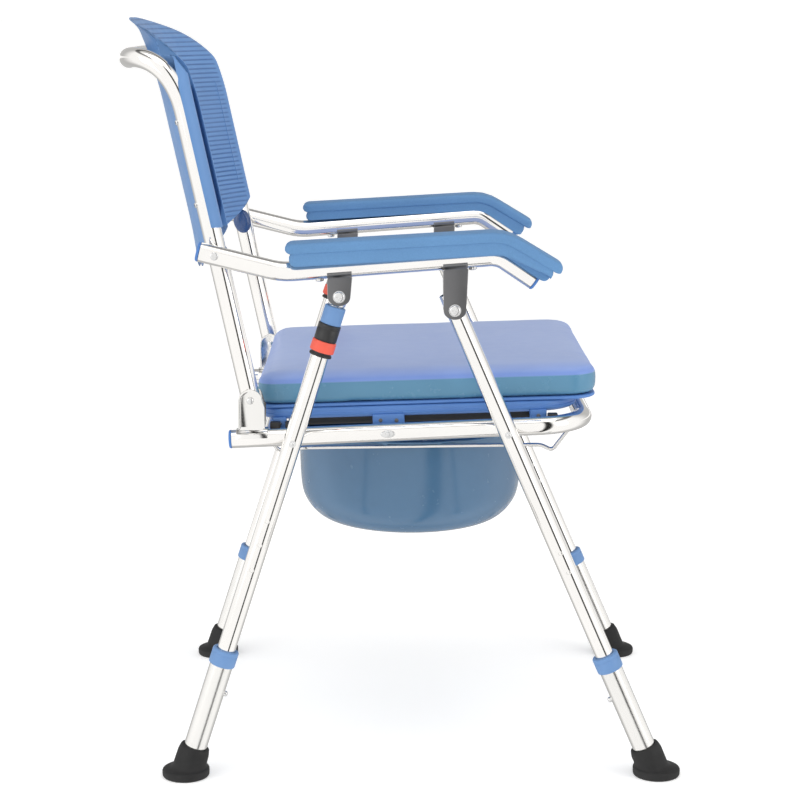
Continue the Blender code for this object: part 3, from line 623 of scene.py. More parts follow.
def build_world():
    """A white studio: soft all round, with a narrow dark gap between two screens and a grey band above them."""
    w = bpy.data.worlds.new("studio")
    bpy.context.scene.world = w
    w.use_nodes = True
    t = w.node_tree
    bg = t.nodes["Background"]
    co = t.nodes.new("ShaderNodeTexCoord").outputs["Generated"]
    sep = t.nodes.new("ShaderNodeSeparateXYZ")
    t.links.new(co, sep.inputs[0])

    def math_node(op, a, b=None):
        n = t.nodes.new("ShaderNodeMath")
        n.operation = op
        for k, v in enumerate((a, b)):
            if v is None:
                continue
            if isinstance(v, (int, float)):
                n.inputs[k].default_value = v
            else:
                t.links.new(v, n.inputs[k])
        return n.outputs[0]

    def ramp(value, a, b, lo=0.0, hi=1.0):
        n = t.nodes.new("ShaderNodeMapRange")
        n.interpolation_type = "SMOOTHSTEP"
        n.inputs["From Min"].default_value, n.inputs["From Max"].default_value = a, b
        n.inputs["To Min"].default_value, n.inputs["To Max"].default_value = lo, hi
        t.links.new(value, n.inputs["Value"])
        return n.outputs["Result"]

    azimuth = math_node("ARCTAN2", sep.outputs["X"], math_node("MULTIPLY", sep.outputs["Y"], -1.0))
    away = math_node("ABSOLUTE", math_node("SUBTRACT", azimuth, 0.42))
    gap = ramp(away, 0.08, 0.20, 0.02, 1.0)
    edge = ramp(math_node("ABSOLUTE", azimuth), 1.6, 2.4, 1.0, 0.50)
    near_level = ramp(math_node("ABSOLUTE", math_node("SUBTRACT", sep.outputs["Z"], 0.0)), 0.03, 0.10, 1.0, 0.0)
    behind = math_node("MAXIMUM", edge, near_level)
    high = ramp(math_node("ABSOLUTE", math_node("SUBTRACT", sep.outputs["Z"], 0.82)), 0.035, 0.085, 0.20, 1.0)
    level = math_node("MULTIPLY", math_node("MULTIPLY", gap, behind), high)
    # Seen directly, the studio is plain white; the gap and the band only show as reflections.
    direct = t.nodes.new("ShaderNodeLightPath").outputs["Is Camera Ray"]
    level = math_node("MAXIMUM", level, direct)
    comb = t.nodes.new("ShaderNodeCombineColor")
    for k, tint in enumerate((1.0, 0.995, 0.985)):
        t.links.new(math_node("MULTIPLY", level, tint), comb.inputs[k])
    t.links.new(comb.outputs[0], bg.inputs["Color"])
    bg.inputs["Strength"].default_value = 1.12


build_world()


def build_floor():
    m = Mat("studio_floor", (0.94, 0.94, 0.94), 0.8)
    m.s.inputs["Specular IOR Level"].default_value = 0.1
    m.base(m.mix(m.spread(m.noise(1.5, 2, 0.5), 0, 1), (0.935, 0.935, 0.935), (0.945, 0.945, 0.945)))
    m.s.inputs["Emission Color"].default_value = (1, 1, 1, 1)
    m.s.inputs["Emission Strength"].default_value = 0.34
    floor = make("studio_floor", [(-400, -400, 0), (400, -400, 0), (400, 400, 0), (-400, 400, 0)], [(0, 1, 2, 3)], m.m)
    floor.visible_glossy = False


build_floor()

# ---------------------------------------------------------------- outlines
def offset(outline, grow):
    """Moves each corner of a counter-clockwise outline out by grow."""
    count = len(outline)
    out = []
    for i in range(count):
        p, a, b = Vector(outline[i]), Vector(outline[i - 1]), Vector(outline[(i + 1) % count])
        e0, e1 = (p - a).normalized(), (b - p).normalized()
        n = (Vector((e0.y, -e0.x)) + Vector((e1.y, -e1.x))).normalized()
        n = n * (grow / max(0.5, n.dot(Vector((e0.y, -e0.x)))))
        out.append((p.x + n.x, p.y + n.y))
    return out


def rounded_rect(x0, x1, y0, y1, radii, steps=14, run=10):
    """Outline points, counter-clockwise from the front right corner, with points along the straights too."""
    out = []
    corners = []
    for cx, cy, start, r in ((x1, y1, 0, radii[0]), (x0, y1, 90, radii[1]), (x0, y0, 180, radii[1]), (x1, y0, 270, radii[0])):
        sx = -1 if cx == x1 else 1
        sy = -1 if cy == y1 else 1
        corners.append(
            [
                (cx + sx * r + r * math.cos(math.radians(start + 90 * i / steps)), cy + sy * r + r * math.sin(math.radians(start + 90 * i / steps)))
                for i in range(steps + 1)
            ]
        )
    for k, c in enumerate(corners):
        out += c
        a, b = Vector(c[-1]), Vector(corners[(k + 1) % 4][0])
        out += [tuple(a.lerp(b, i / run)) for i in range(1, run)]
    return out


def along(p, q, t):
    d = (Vector(q) - Vector(p)).normalized()
    return Vector(p) + d * t


def leg_dir(p, q):
    d = (Vector(q) - Vector(p)).normalized()
    return Vector((d.x, 0, d.y))


# ---------------------------------------------------------------- seat frame
def build_seat_frame():
    corner_x, end_x = 0.2365, -0.1855
    flat = fillet([(x, y, 0) for x, y in ((end_x, -Y_IN), (corner_x, -Y_IN), (corner_x, Y_IN), (end_x, Y_IN))], [0.058, 0.058], 26)
    path = dense([W(p.x, p.y, seat_z(p.x)) for p in flat], 0.03)
    place(tube("vis_seat_tube", path, R_SEAT, M["tube_x"], 44, R_SEAT - 0.0015), "seat_frame", "aluminium", "seat_frame_tube")
    bar = dense([W(-0.1420, -0.2015, 0.4110), W(-0.1420, 0.2015, 0.4110)], 0.05)
    place(tube("vis_rear_crossbar", bar, 0.0075, M["tube_x"], 32, 0.0062), "seat_frame", "aluminium", "seat_rear_crossbar")
    for side, s in SIDES:
        axis = Vector((1, 0, 0.0425)).normalized()
        plug = [(0, -0.0032), (0.0080, -0.0032), (0.0098, -0.0029), (0.0108, -0.0021), (0.0111, -0.0012), (0.0111, -0.0003), (0.0092, -0.0003), (0.0092, 0.0120), (0, 0.0120)]
        place(lathe("vis_seat_plug_" + side, plug, W(end_x, s * Y_IN, seat_z(end_x)), axis, M["plug"], 40), "seat_frame", "blue_plastic", "seat_tube_plug_" + side)
        build_hinge_bracket(side, s)
        rail = fillet(
            [(-0.1455, s * 0.1655, 0.4005), (-0.1330, s * 0.1640, 0.3836), (-0.1000, s * 0.1500, 0.3836), (0.1700, s * 0.150, 0.3868), (0.1870, s * 0.150, 0.3868), (0.2010, s * 0.150, 0.3800), (0.2260, s * 0.150, 0.4135)],
            [0.006, 0.02, 0.05, 0.02, 0.006],
            10,
        )
        rail = [W(*p) for p in rail]
        place(tube("vis_bucket_rail_" + side, dense(rail, 0.02), 0.0024, M["wire"], 18), "seat_frame", "aluminium", "bucket_rail_" + side)
        for label, p in (("rear", P5), ("front", P6)):
            g0, g1 = Y_IN + R_SEAT + 0.0003, Y_OUT - R_LEG - 0.0003
            prof = [(0.0034, g0), (0.0079, g0), (0.0085, g0 + 0.0006), (0.0085, g1 - 0.0006), (0.0079, g1), (0.0034, g1)]
            place(lathe("vis_pivot_bush_%s_%s" % (label, side), prof, W(p[0], 0, p[1]), (0, s, 0), M["bush"], 36, True), "seat_frame", "bush_plastic", "leg_pivot_bush_%s_%s" % (label, side))
        # Fixing of the toilet seat in the middle of the tube: an oval dimple plate with a slotted screw.
        n, up, ax = Vector((0, s, 0)), Vector((0, 0, 1)), Vector((1, 0, 0.0425)).normalized()
        c = W(0.0003, s * (Y_IN + R_SEAT), seat_z(0.0003))
        rings = []
        for depth, size in ((-0.0016, 1.0), (0.0002, 1.0), (0.0007, 0.94), (0.0009, 0.82)):
            ring = []
            for i in range(40):
                a = 2 * math.pi * i / 40
                v = up * (0.0044 * size * math.sin(a))
                # The plate follows the round tube.
                fall = (v.length ** 2) / (2 * R_SEAT)
                ring.append(c + n * (depth - fall) + ax * (0.0086 * size * math.cos(a)) + v)
            rings.append(ring)
        v, f = loft(rings)
        place(make("vis_mid_plate_" + side, v, f, M["screw"]), "seat_frame", "aluminium")
        screw("vis_mid_screw_" + side, c + n * 0.0008, n, 0.0030, 0.0014, "seat_frame", "aluminium")
        # Dark buffers between the board and the tube.
        for x, w in ((-0.1340, 0.0060), (-0.1180, 0.0040), (0.1965, 0.0060)):
            zc = (board_z(x, 0.4310) + seat_z(x) + R_SEAT * 0.55) / 2
            h = (board_z(x, 0.4310) - seat_z(x) - R_SEAT * 0.55) / 2
            v, f = box_verts(W(x, s * 0.2030, zc), Vector((1, 0, 0)), Vector((0, 1, 0)), Vector((0, 0, 1)), w, 0.0050, h)
            place(bevel(make("vis_buffer_%s" % side, v, f, M["black"]), 0.0012, 3), "seat_frame", "blue_plastic")


def build_hinge_bracket(side, s):
    x0, x1 = -0.1765, -0.1450
    px, top = P4
    arch = [(x0 + 0.0006, 0.4205), (x1 - 0.0006, 0.4205), (x1, 0.4212)]
    arch += [(x1, 0.4212 + (top - 0.008 - 0.4212) * i / 6) for i in range(1, 7)]
    for i in range(33):
        a = math.radians(4 + 172 * i / 32)
        point = 1.0 + 0.05 * max(0.0, math.sin(a)) ** 8
        arch.append((px + 0.0140 * math.cos(a), top + 0.0132 * point * math.sin(a)))
    arch += [(x0, 0.4212 + (top - 0.008 - 0.4212) * i / 6) for i in range(6, 0, -1)]
    arch += [(x0, 0.4212)]
    parts = []
    for k, face in enumerate((1, -1)):
        # face +1 is the outer cheek.
        y_in, y_out = s * Y_IN + s * face * 0.0119, s * Y_IN + s * face * 0.0139
        d = s * face
        levels = ((0.0, y_in), (0.0, y_out - d * 0.0005), (-0.0004, y_out), (-0.0022, y_out), (-0.0031, y_out - d * 0.0004), (-0.0040, y_out - d * 0.0008))
        rings = []
        for grow, y in levels:
            o = offset(arch, grow) if grow else arch
            rings.append([W(x, y, max(z, 0.4205)) for x, z in o])
        v, f = loft(rings)
        parts.append(make("vis_hinge_cheek_%s_%d" % (side, k), v, f, M["stamp"]))
    # The saddle that joins the cheeks and lies on the seat tube.
    rings = []
    for x in (x0 - 0.0030, x0 - 0.0024, -0.1600, x1 + 0.0024, x1 + 0.0030):
        edge = 0.0004 if x in (x0 - 0.0030, x1 + 0.0030) else 0.0
        ring = []
        zc = seat_z(x)
        n = 30
        for i in range(n + 1):
            a = math.radians(8 + 164 * i / n)
            ring.append(W(x, s * Y_IN + (0.0130 - edge) * math.cos(a), zc + (0.0130 - edge) * math.sin(a)))
        for i in range(n, -1, -1):
            a = math.radians(8 + 164 * i / n)
            ring.append(W(x, s * Y_IN + (0.0112 + edge) * math.cos(a), zc + (0.0112 + edge) * math.sin(a)))
        rings.append(ring)
    v, f = loft(rings)
    saddle = make("vis_hinge_saddle_" + side, v, f, M["stamp"])
    place(saddle, "seat_frame", "hinge_bracket")
    for k, p in enumerate(parts):
        if k == 0:
            place(p, "seat_frame", "hinge_bracket", "back_hinge_bracket_" + side)
        else:
            place(p, "seat_frame", "hinge_bracket")
    pos = W(P4[0], s * (Y_IN + 0.0131), P4[1])
    screw("vis_hinge_rivet_" + side, pos, (0, s, 0), 0.0044, 0.0024, "seat_frame", "hinge_bracket", "rivet")
    pos = W(P4[0], s * (Y_IN - 0.0131), P4[1])
    screw("vis_hinge_rivet_in_" + side, pos, (0, -s, 0), 0.0040, 0.0018, "seat_frame", "hinge_bracket", "rivet")


def build_toilet_seat():
    z0, z1 = 0.4315, 0.4448
    outline = rounded_rect(-0.1540, 0.2290, -0.1960, 0.1960, (0.050, 0.035))
    cx, ax, ay = 0.0285, 0.1260, 0.1080

    def opening(grow):
        out = []
        for x, y in outline:
            a = math.atan2(y / 0.196, (x - cx) / 0.19)
            out.append((cx + (ax + grow) * math.cos(a), (ay + grow) * math.sin(a)))
        return out

    rings = []
    for grow, z in ((-0.0060, z0), (-0.0042, z0 + 0.0004), (-0.0008, z0 + 0.0030), (0.0, z0 + 0.0042), (0.0, z0 + 0.0062), (-0.0009, z0 + 0.0068), (-0.0009, z1 - 0.0028), (-0.0014, z1 - 0.0012), (-0.0030, z1 - 0.0002), (-0.0060, z1)):
        rings.append([W(x, y, board_z(x, z)) for x, y in offset(outline, grow)])
    for grow, z in ((0.0100, z1), (0.0040, z1 - 0.0006), (0.0012, z1 - 0.0024), (0.0, z1 - 0.0050), (0.0002, z0 + 0.0020), (0.0014, z0)):
        rings.append([W(x, y, board_z(x, z)) for x, y in opening(grow)])
    v, f = loft(rings, closed=True)
    board = make("vis_toilet_seat", v, f, M["seatblue"], 50)
    for s in (-1, 1):
        for x, w in ((-0.1290, 0.008), (0.0010, 0.019), (0.1800, 0.010)):
            zc = board_z(x, z0) - 0.0035
            vv, ff = box_verts(W(x, s * 0.1920, zc), Vector((1, 0, 0.03)).normalized(), Vector((0, 1, 0)), Vector((-0.03, 0, 1)).normalized(), w, 0.0068, 0.0068)
            lug = bevel(make("vis_seat_lug", vv, ff, M["seatblue"]), 0.0014, 3)
            place(lug, "seat_frame", "blue_plastic")
            for dx in ((-0.5, 0.5) if w > 0.015 else (0.0,)):
                screw("vis_lug_screw", W(x + dx * w, s * 0.1988, zc - 0.0006), (0, s, 0), 0.0024, 0.0009, "seat_frame", "blue_plastic", "cross", mat=M["gunmetal"])
    place(board, "seat_frame", "blue_plastic", "toilet_seat")
    # Dark strips under the board, where there is only shade: painted shadow.
    for s in (-1, 1):
        v, f = box_verts(W(0.0450, s * 0.1750, 0.4272), Vector((1, 0, 0.03)).normalized(), Vector((0, 1, 0)), Vector((-0.03, 0, 1)).normalized(), 0.1400, 0.0040, 0.0052)
        place(bevel(make("vis_under_board_painted_shadow", v, f, M["black"]), 0.0012, 3), "seat_frame", "blue_plastic")


def build_lid():
    outline = rounded_rect(-0.1590, 0.2540, -0.1980, 0.1980, (0.034, 0.024))
    base = offset(outline, -0.004)
    rings = []
    for grow, z in ((-0.0030, 0.4452), (-0.0012, 0.4454), (-0.0002, 0.4461), (0.0, 0.4467), (0.0, 0.4484), (-0.0006, 0.4490), (-0.0018, 0.4493)):
        rings.append([W(x, y, board_z(x, z)) for x, y in offset(base, grow)])
    v, f = loft(rings)
    place(make("vis_lid_board", v, f, M["seatblue"], 50), "seat_lid", "blue_plastic", "cushion_base")

    # Vinyl cushion: a boxed side and a crowned top. It starts a little small, and a short cloth run fills it.
    levels = [(0.4496, -0.0060), (0.4497, -0.0030), (0.4504, -0.0016), (0.4530, -0.0010)]
    levels += [(0.4530 + 0.0200 * i / 8, -0.0008) for i in range(1, 9)]
    levels += [(0.4755, -0.0018), (0.4785, -0.0032), (0.4808, -0.0056), (0.4826, -0.0094), (0.4840, -0.0150), (0.4850, -0.0230), (0.4857, -0.0340), (0.4862, -0.0500), (0.4866, -0.0700), (0.4868, -0.1000), (0.4869, -0.1300)]
    rings = []
    for z, g in levels:
        if g > -0.03:
            o = offset(outline, g)
        else:
            k = 1 + g / 0.198
            o = [(0.0475 + (x - 0.0475) * (1 + g / 0.2065), y * k) for x, y in outline]
        rings.append([W(x, y, board_z(x, z)) for x, y in o])
    v, f = loft(rings)
    top = make("vis_cushion", v, f, M["cushion"], 70)
    puff(top, 0.0045, 0.0030, lambda p: p.z - SZ - board_z(p.x - SX, 0.4494), 4.0)
    place(top, "seat_lid", "seat_vinyl", "seat_cushion", pad=0.9)


def puff(obj, voxel, cap, floor, pressure):
    """Voxel remesh, a short cloth run under pressure, then capped and applied. floor(p) below 0 is pushed back up."""
    m = modifier(obj, "REMESH", mode="VOXEL", voxel_size=voxel)
    m.use_smooth_shade = True
    bake(obj)
    n = len(obj.data.vertices)
    start = np.empty(n * 3, np.float32)
    obj.data.vertices.foreach_get("co", start)
    start = start.reshape(-1, 3)
    end = start.copy()
    c = obj.modifiers.new("cloth", "CLOTH")
    c.settings.use_pressure = True
    c.settings.uniform_pressure_force = pressure
    c.settings.quality = 5
    c.settings.mass = 0.3
    c.settings.tension_stiffness = 12
    c.settings.compression_stiffness = 12
    c.settings.shear_stiffness = 5
    c.settings.bending_stiffness = 0.6
    c.settings.effector_weights.gravity = 0
    c.point_cache.frame_start, c.point_cache.frame_end = 1, 24
    scene = bpy.context.scene
    for frame_no in range(1, 19):
        scene.frame_set(frame_no)
    ev = obj.evaluated_get(bpy.context.evaluated_depsgraph_get())
    end = np.empty(n * 3, np.float32)
    ev.data.vertices.foreach_get("co", end)
    end = end.reshape(-1, 3)
    obj.modifiers.clear()
    scene.frame_set(1)
    move = end - start
    length = np.linalg.norm(move, axis=1, keepdims=True)
    move *= np.minimum(1.0, cap / np.maximum(length, 1e-9))
    out = start + move
    for i in range(n):
        d = floor(Vector(out[i]))
        if d < 0:
            out[i, 2] -= d
    obj.data.vertices.foreach_set("co", out.reshape(-1))
    obj.data.update()
    modifier(obj, "SMOOTH", factor=0.5, iterations=6)
    modifier(obj, "SUBSURF", levels=1, render_levels=1)
    bake(obj)


def build_bucket():
    outer = soften([(0.0, 0.2620), (0.0500, 0.2620), (0.0870, 0.2621), (0.1080, 0.2655), (0.1215, 0.2730), (0.1325, 0.2855), (0.1390, 0.3000), (0.1415, 0.3200), (0.1425, 0.3500), (0.1432, 0.3790), (0.1435, 0.3862)], 6)
    rim = [(0.1439, 0.3872), (0.1450, 0.3879), (0.1470, 0.3880), (0.1545, 0.3881), (0.1562, 0.3887), (0.1570, 0.3899), (0.1565, 0.3910), (0.1552, 0.3916), (0.1470, 0.3916), (0.1440, 0.3914), (0.1420, 0.3903)]
    inner = soften([(0.1410, 0.3880), (0.1408, 0.3860), (0.1397, 0.3500), (0.1388, 0.3205), (0.1365, 0.3015), (0.1305, 0.2878), (0.1200, 0.2755), (0.1070, 0.2682), (0.0865, 0.2648), (0.0500, 0.2646), (0.0, 0.2646)], 6)
    b = lathe("vis_bucket", outer + rim + inner, W(0.0290, 0, 0), (0, 0, 1), M["bucket"], 128)
    place(b, "bucket", "bucket_plastic", "bucket")
    for s in (-1, 1):
        for x in (-0.0034, 0.0638):
            a = math.atan2(s * 0.150, x - 0.029)
            rad, tan = Vector((math.cos(a), math.sin(a), 0)), Vector((-math.sin(a), math.cos(a), 0))
            c = W(0.029, 0, 0)
            rings = []
            for r, half, low in ((0.1432, 0.0080, 0.3812), (0.1500, 0.0055, 0.3838), (0.1552, 0.0030, 0.3862)):
                rings.append([c + rad * r + tan * t + Vector((0, 0, z)) for t, z in ((-half, 0.3884), (-half * 0.9, 0.3868), (-half * 0.25, low), (half * 0.25, low), (half * 0.9, 0.3868), (half, 0.3884))])
            v, f = loft(rings)
            place(make("vis_bucket_gusset", v, f, M["bucket"]), "bucket", "bucket_plastic")


# ---------------------------------------------------------------- back
def bezier(p0, p1, p2, p3, steps):
    p0, p1, p2, p3 = map(Vector, (p0, p1, p2, p3))
    return [p0 * (1 - t) ** 3 + p1 * 3 * t * (1 - t) ** 2 + p2 * 3 * t * t * (1 - t) + p3 * t ** 3 for t in (i / steps for i in range(steps + 1))]


PANEL_HALF, EDGE_FORWARD, DISH_FORWARD = 0.1990, 0.0190, -0.0400


def dish(y):
    return DISH_FORWARD + (EDGE_FORWARD - DISH_FORWARD) * (abs(y) / PANEL_HALF) ** 2.2


def panel_limits(y):
    t = min(1.0, abs(y) / PANEL_HALF)
    if abs(y) > PANEL_HALF + 0.0012:
        return 0.6601, 0.8560
    bottom = 0.5885 + 0.0620 * (math.sqrt(t * t + 0.0036) - 0.06) + 0.0132 * t ** 12
    top = 0.9000 - 0.0260 * t ** 2 - 0.0175 * t ** 9
    return bottom, top


def panel_lean(y, z):
    t = min(1.0, abs(y) / PANEL_HALF)
    out = 0.0
    if z > 0.795:
        out -= (1.0 + 0.8 * t * t) * (z - 0.795) ** 2
    flare = z - (panel_limits(y)[1] - 0.0160)
    if flare > 0 and abs(y) < PANEL_HALF + 0.0012:
        out -= 26.0 * flare * flare
    if z < 0.66:
        out -= 0.9 * (0.66 - z) ** 2
    return out


def smooth_step(a, b, x):
    t = max(0.0, min(1.0, (x - a) / (b - a)))
    return t * t * (3 - 2 * t)


def build_back():
    z_end, z_bend = P4[1] - 0.0140, 0.7900
    start = Vector((back_axis(z_end), -Y_IN, z_end))
    bend = Vector((back_axis(z_bend), -Y_IN, z_bend))
    half = [start] + bezier(bend, bend + Vector((LEAN[0], 0, LEAN[1])) * 0.0735, (-0.2985, -0.2120, 0.8560), (-0.3030, -0.1600, 0.8530), 36)
    half += [Vector((-0.3110, -0.0800, 0.8530)), Vector((-0.3140, 0.0, 0.8530))]
    path = half + [Vector((p.x, -p.y, p.z)) for p in reversed(half[:-1])]
    path = dense([W(*p) for p in path], 0.03)
    place(tube("vis_back_tube", path, R_BACK, M["tube"], 44, R_BACK - 0.0015), "back", "aluminium", "back_frame_tube")

    pitch, depth = 0.0059, 0.0016
    r_in, r_out = 0.0123, 0.0140
    fine = [6 + 152 * i / 20 for i in range(21)]
    ys = [-0.1900 + 0.3800 * i / 112 for i in range(113)]
    z_low, z_high = 0.6740, 0.8480
    zone_low = [i / 60 for i in range(60)]
    zone_mid = [i / 178 for i in range(178)]
    zone_high = [i / 40 for i in range(41)]

    def level_z(kind, t, y):
        bottom, top = panel_limits(y)
        if kind == 0:
            return bottom + (z_low - bottom) * t
        if kind == 1:
            return z_low + (z_high - z_low) * t
        return z_high + (top - z_high) * t

    rings = []
    for kind, t in [(0, t) for t in zone_low] + [(1, t) for t in zone_mid] + [(2, t) for t in zone_high]:
        zb = level_z(kind, t, PANEL_HALF + 0.01)
        v = (zb - 0.6601) / (0.8560 - 0.6601)
        open_slot = min(1.0, max(0.0, (v - 0.02) / 0.10)) * min(1.0, max(0.0, (0.93 - v) / 0.14))
        deep = 0.0010 + 0.0150 * open_slot

        def half_section(s):
            front = [(s * (Y_IN + r_out * math.cos(math.radians(a))), r_out * math.sin(math.radians(a))) for a in fine]
            low, high = 0.0042, dish(0.1965) - 0.0010
            mid = (low + high) / 2
            front += [
                (s * 0.1982, low + (mid - low) * (1 - open_slot) * 0.9),
                (s * (0.1982 - deep), low * 0.7 + (mid - low * 0.7) * (1 - open_slot) * 0.95),
                (s * (0.1982 - deep), mid * 0.8 + 0.0010 + (mid - mid * 0.8) * (1 - open_slot)),
                (s * 0.1985, high - (high - mid) * (1 - open_slot) * 0.9),
                (s * 0.1996, dish(0.1990) - 0.0014),
                (s * 0.1998, dish(0.1990) - 0.0009),
                (s * 0.1994, dish(0.1990) - 0.0004),
                (s * 0.1985, dish(0.1985) - 0.0001),
                (s * 0.1965, dish(0.1965)),
                (s * 0.1930, dish(0.1930)),
            ]
            rear = [(s * (Y_IN + r_in * math.cos(math.radians(a))), r_in * math.sin(math.radians(a))) for a in fine[:-2]]
            rear += [(s * 0.1993, 0.0), (s * 0.1940, -0.0005)]
            return front, rear

        front_r, rear_r = half_section(-1)
        front_l, rear_l = half_section(1)
        front = front_r + [(y, dish(y)) for y in ys] + front_l[::-1]
        rear_mid = []
        for y in ys:
            x = min(-0.0010, dish(y) - 0.0038)
            rear_mid.append((y, x))
        rear = rear_r + rear_mid + rear_l[::-1]
        ring = []
        for k, (y, x) in enumerate(front + rear[::-1]):
            z = level_z(kind, t, y)
            lean = panel_lean(y, z)
            if abs(y) > PANEL_HALF + 0.0012:
                # The bead stands straight, and near its top curls back and inward into the panel's rim.
                reach = dish(PANEL_HALF) + 2.2 * lean + 0.0045
                curl = smooth_step(0.72, 1.0, v)
                reach -= 0.0065 * smooth_step(0.80, 1.0, v)
                x, lean = min(x, reach if k < len(front) else reach - 0.0023), 0.0
                y = math.copysign(abs(y) - (abs(y) - 0.2004) * 0.62 * curl ** 1.5, y)
            elif k < len(front) and abs(y) < 0.1955:
                bottom, top = panel_limits(y)
                mask = smooth_step(0.1955, 0.1925, abs(y)) * smooth_step(0.004, 0.009, z - bottom) * smooth_step(0.004, 0.009, top - z)
                wave = abs(math.sin(math.pi * (z - 0.0003) / pitch)) ** 0.60
                x += depth * (wave - 1.0) * mask
            ring.append(W(back_axis(z) + x + lean, y, z))
        rings.append(ring)
    v, f = loft(rings)
    panel = make("vis_backrest", v, f, M["ribbed"], 42)
    place(panel, "back", "blue_plastic", "backrest_panel")

    # A domed cap over each arm pivot on the back tube.
    for side, s in SIDES:
        face = Y_IN - R_BACK - 0.0003
        centre = W(back_axis(0.6260), 0, 0.6260)
        up, across = Vector((LEAN[0], 0, LEAN[1])), Vector((LEAN[1], 0, -LEAN[0]))
        rings = []
        for depth_y, size in ((0.0, 0.86), (0.0006, 0.95), (0.0016, 0.99), (0.0028, 1.0), (0.0044, 0.985), (0.0062, 0.93), (0.0078, 0.82), (0.0089, 0.68), (0.0096, 0.50), (0.0099, 0.25)):
            rings.append([centre + Vector((0, s * (face - depth_y), 0)) + up * (0.0165 * size * math.sin(2 * math.pi * i / 48)) + across * (0.0118 * size * math.cos(2 * math.pi * i / 48)) for i in range(48)])
        v, f = loft(rings)
        place(make("vis_pivot_cap_" + side, v, f, M["cap"]), "back", "cap_plastic", "arm_pivot_cap_" + side)
        # Screws through the back of the tube into the panel.
        for z in (0.7829, 0.6876):
            n = Vector((-LEAN[1], 0, LEAN[0])).normalized()
            n = (n * 0.92 + Vector((0, s * 0.38, 0))).normalized()
            p = W(back_axis(z), s * Y_IN, z) + n * (R_BACK - 0.0002)
            screw("vis_back_screw_" + side, p, n, 0.0032, 0.0020, "back", "aluminium")


# ---------------------------------------------------------------- arms
ARM_PATH = [(-0.2170, 0.6338), (-0.1225, 0.6104), (0.1280, 0.6292), (0.1700, 0.6010)]


def arm_line(steps=18):
    return fillet([(x, 0, z) for x, z in ARM_PATH], [0.09, 0.030], steps)


def pad_line():
    line = arm_line(10)
    tail = (line[-1] - line[-2]).normalized()
    first_z = arm_line(5)[1].z + 0.0012
    out = [Vector((-0.1150, 0, first_z))]
    out += [p for p in line if p.x > -0.100]
    out.append(line[-1] + tail * 0.0060)
    out.append(line[-1] + tail * 0.0165)
    return out


def pad_piece(name, profile, s, grow_start, grow_end, radius, drop_low, drop_high, mat):
    """A closed moulding along the pad line, its two ends rounded by shrinking the section."""
    line = pad_line()
    line = dense(line, 0.006)
    total = [0.0]
    for a, b in zip(line, line[1:]):
        total.append(total[-1] + (b - a).length)
    length = total[-1]

    def at(d):
        d_in = min(max(d, 0.0), length)
        for k in range(len(line) - 1):
            if d_in <= total[k + 1] or k == len(line) - 2:
                t = (d_in - total[k]) / (total[k + 1] - total[k])
                p = line[k].lerp(line[k + 1], t)
                a, b = line[max(k - 1, 0)], line[min(k + 2, len(line) - 1)]
                q = (b - a).normalized()
                return p + q * (d - d_in), q
        return line[-1], (line[-1] - line[-2]).normalized()

    d0, d1 = grow_start, length + grow_end
    stations = []
    for i in range(9):
        a = math.pi / 2 * i / 8
        stations.append((d0 + radius * (1 - math.cos(a)), math.sin(a)))
    n = 44
    stations += [(d0 + radius + (d1 - d0 - 2 * radius) * i / n, 1.0) for i in range(1, n)]
    for i in range(8, -1, -1):
        a = math.pi / 2 * i / 8
        stations.append((d1 - radius * (1 - math.cos(a)), math.sin(a)))
    ymid = (min(p[0] for p in profile) + max(p[0] for p in profile)) / 2
    hmid = (min(p[1] for p in profile) + max(p[1] for p in profile)) / 2
    yr = (max(p[0] for p in profile) - min(p[0] for p in profile)) / 2
    hr = (max(p[1] for p in profile) - min(p[1] for p in profile)) / 2
    rings = []
    for d, size in stations:
        p, q = at(d)
        nrm = Vector((-q.z, 0, q.x))
        drop = max(0.0, p.x - 0.120)
        ring = []
        k = 1 - size
        ky, kh = 1 - k * min(1.0, radius / yr), 1 - k * min(1.0, radius / hr) * 0.94
        for y, h in profile:
            h2 = h
            if h < 0.010 and y > 0.0125:
                h2 += drop_low * drop
            elif h > 0.017:
                h2 += drop_high * drop
            y2, h3 = ymid + (y - ymid) * ky, hmid + (h2 - hmid) * kh
            ring.append(W(0, 0, 0) + p + nrm * h3 + Vector((0, s * (Y_OUT + y2), 0)))
        rings.append(ring)
    v, f = loft(rings)
    return make(name, v, f, mat, 60)


def rounded_profile(points, radii, steps=5):
    """A closed 2-D profile with each corner rounded by its own radius."""
    out = []
    n = len(points)
    for k in range(n):
        p, a, b = Vector(points[k]), Vector(points[k - 1]), Vector(points[(k + 1) % n])
        r = radii[k]
        if r <= 0:
            out.append(tuple(p))
            continue
        u, v = (a - p).normalized(), (b - p).normalized()
        ang = u.angle(v)
        reach = min(r / math.tan(ang / 2), (a - p).length * 0.49, (b - p).length * 0.49)
        s0, s1 = p + u * reach, p + v * reach
        for i in range(steps + 1):
            t = i / steps
            out.append(tuple(s0.lerp(p, t).lerp(p.lerp(s1, t), t)))
    return out


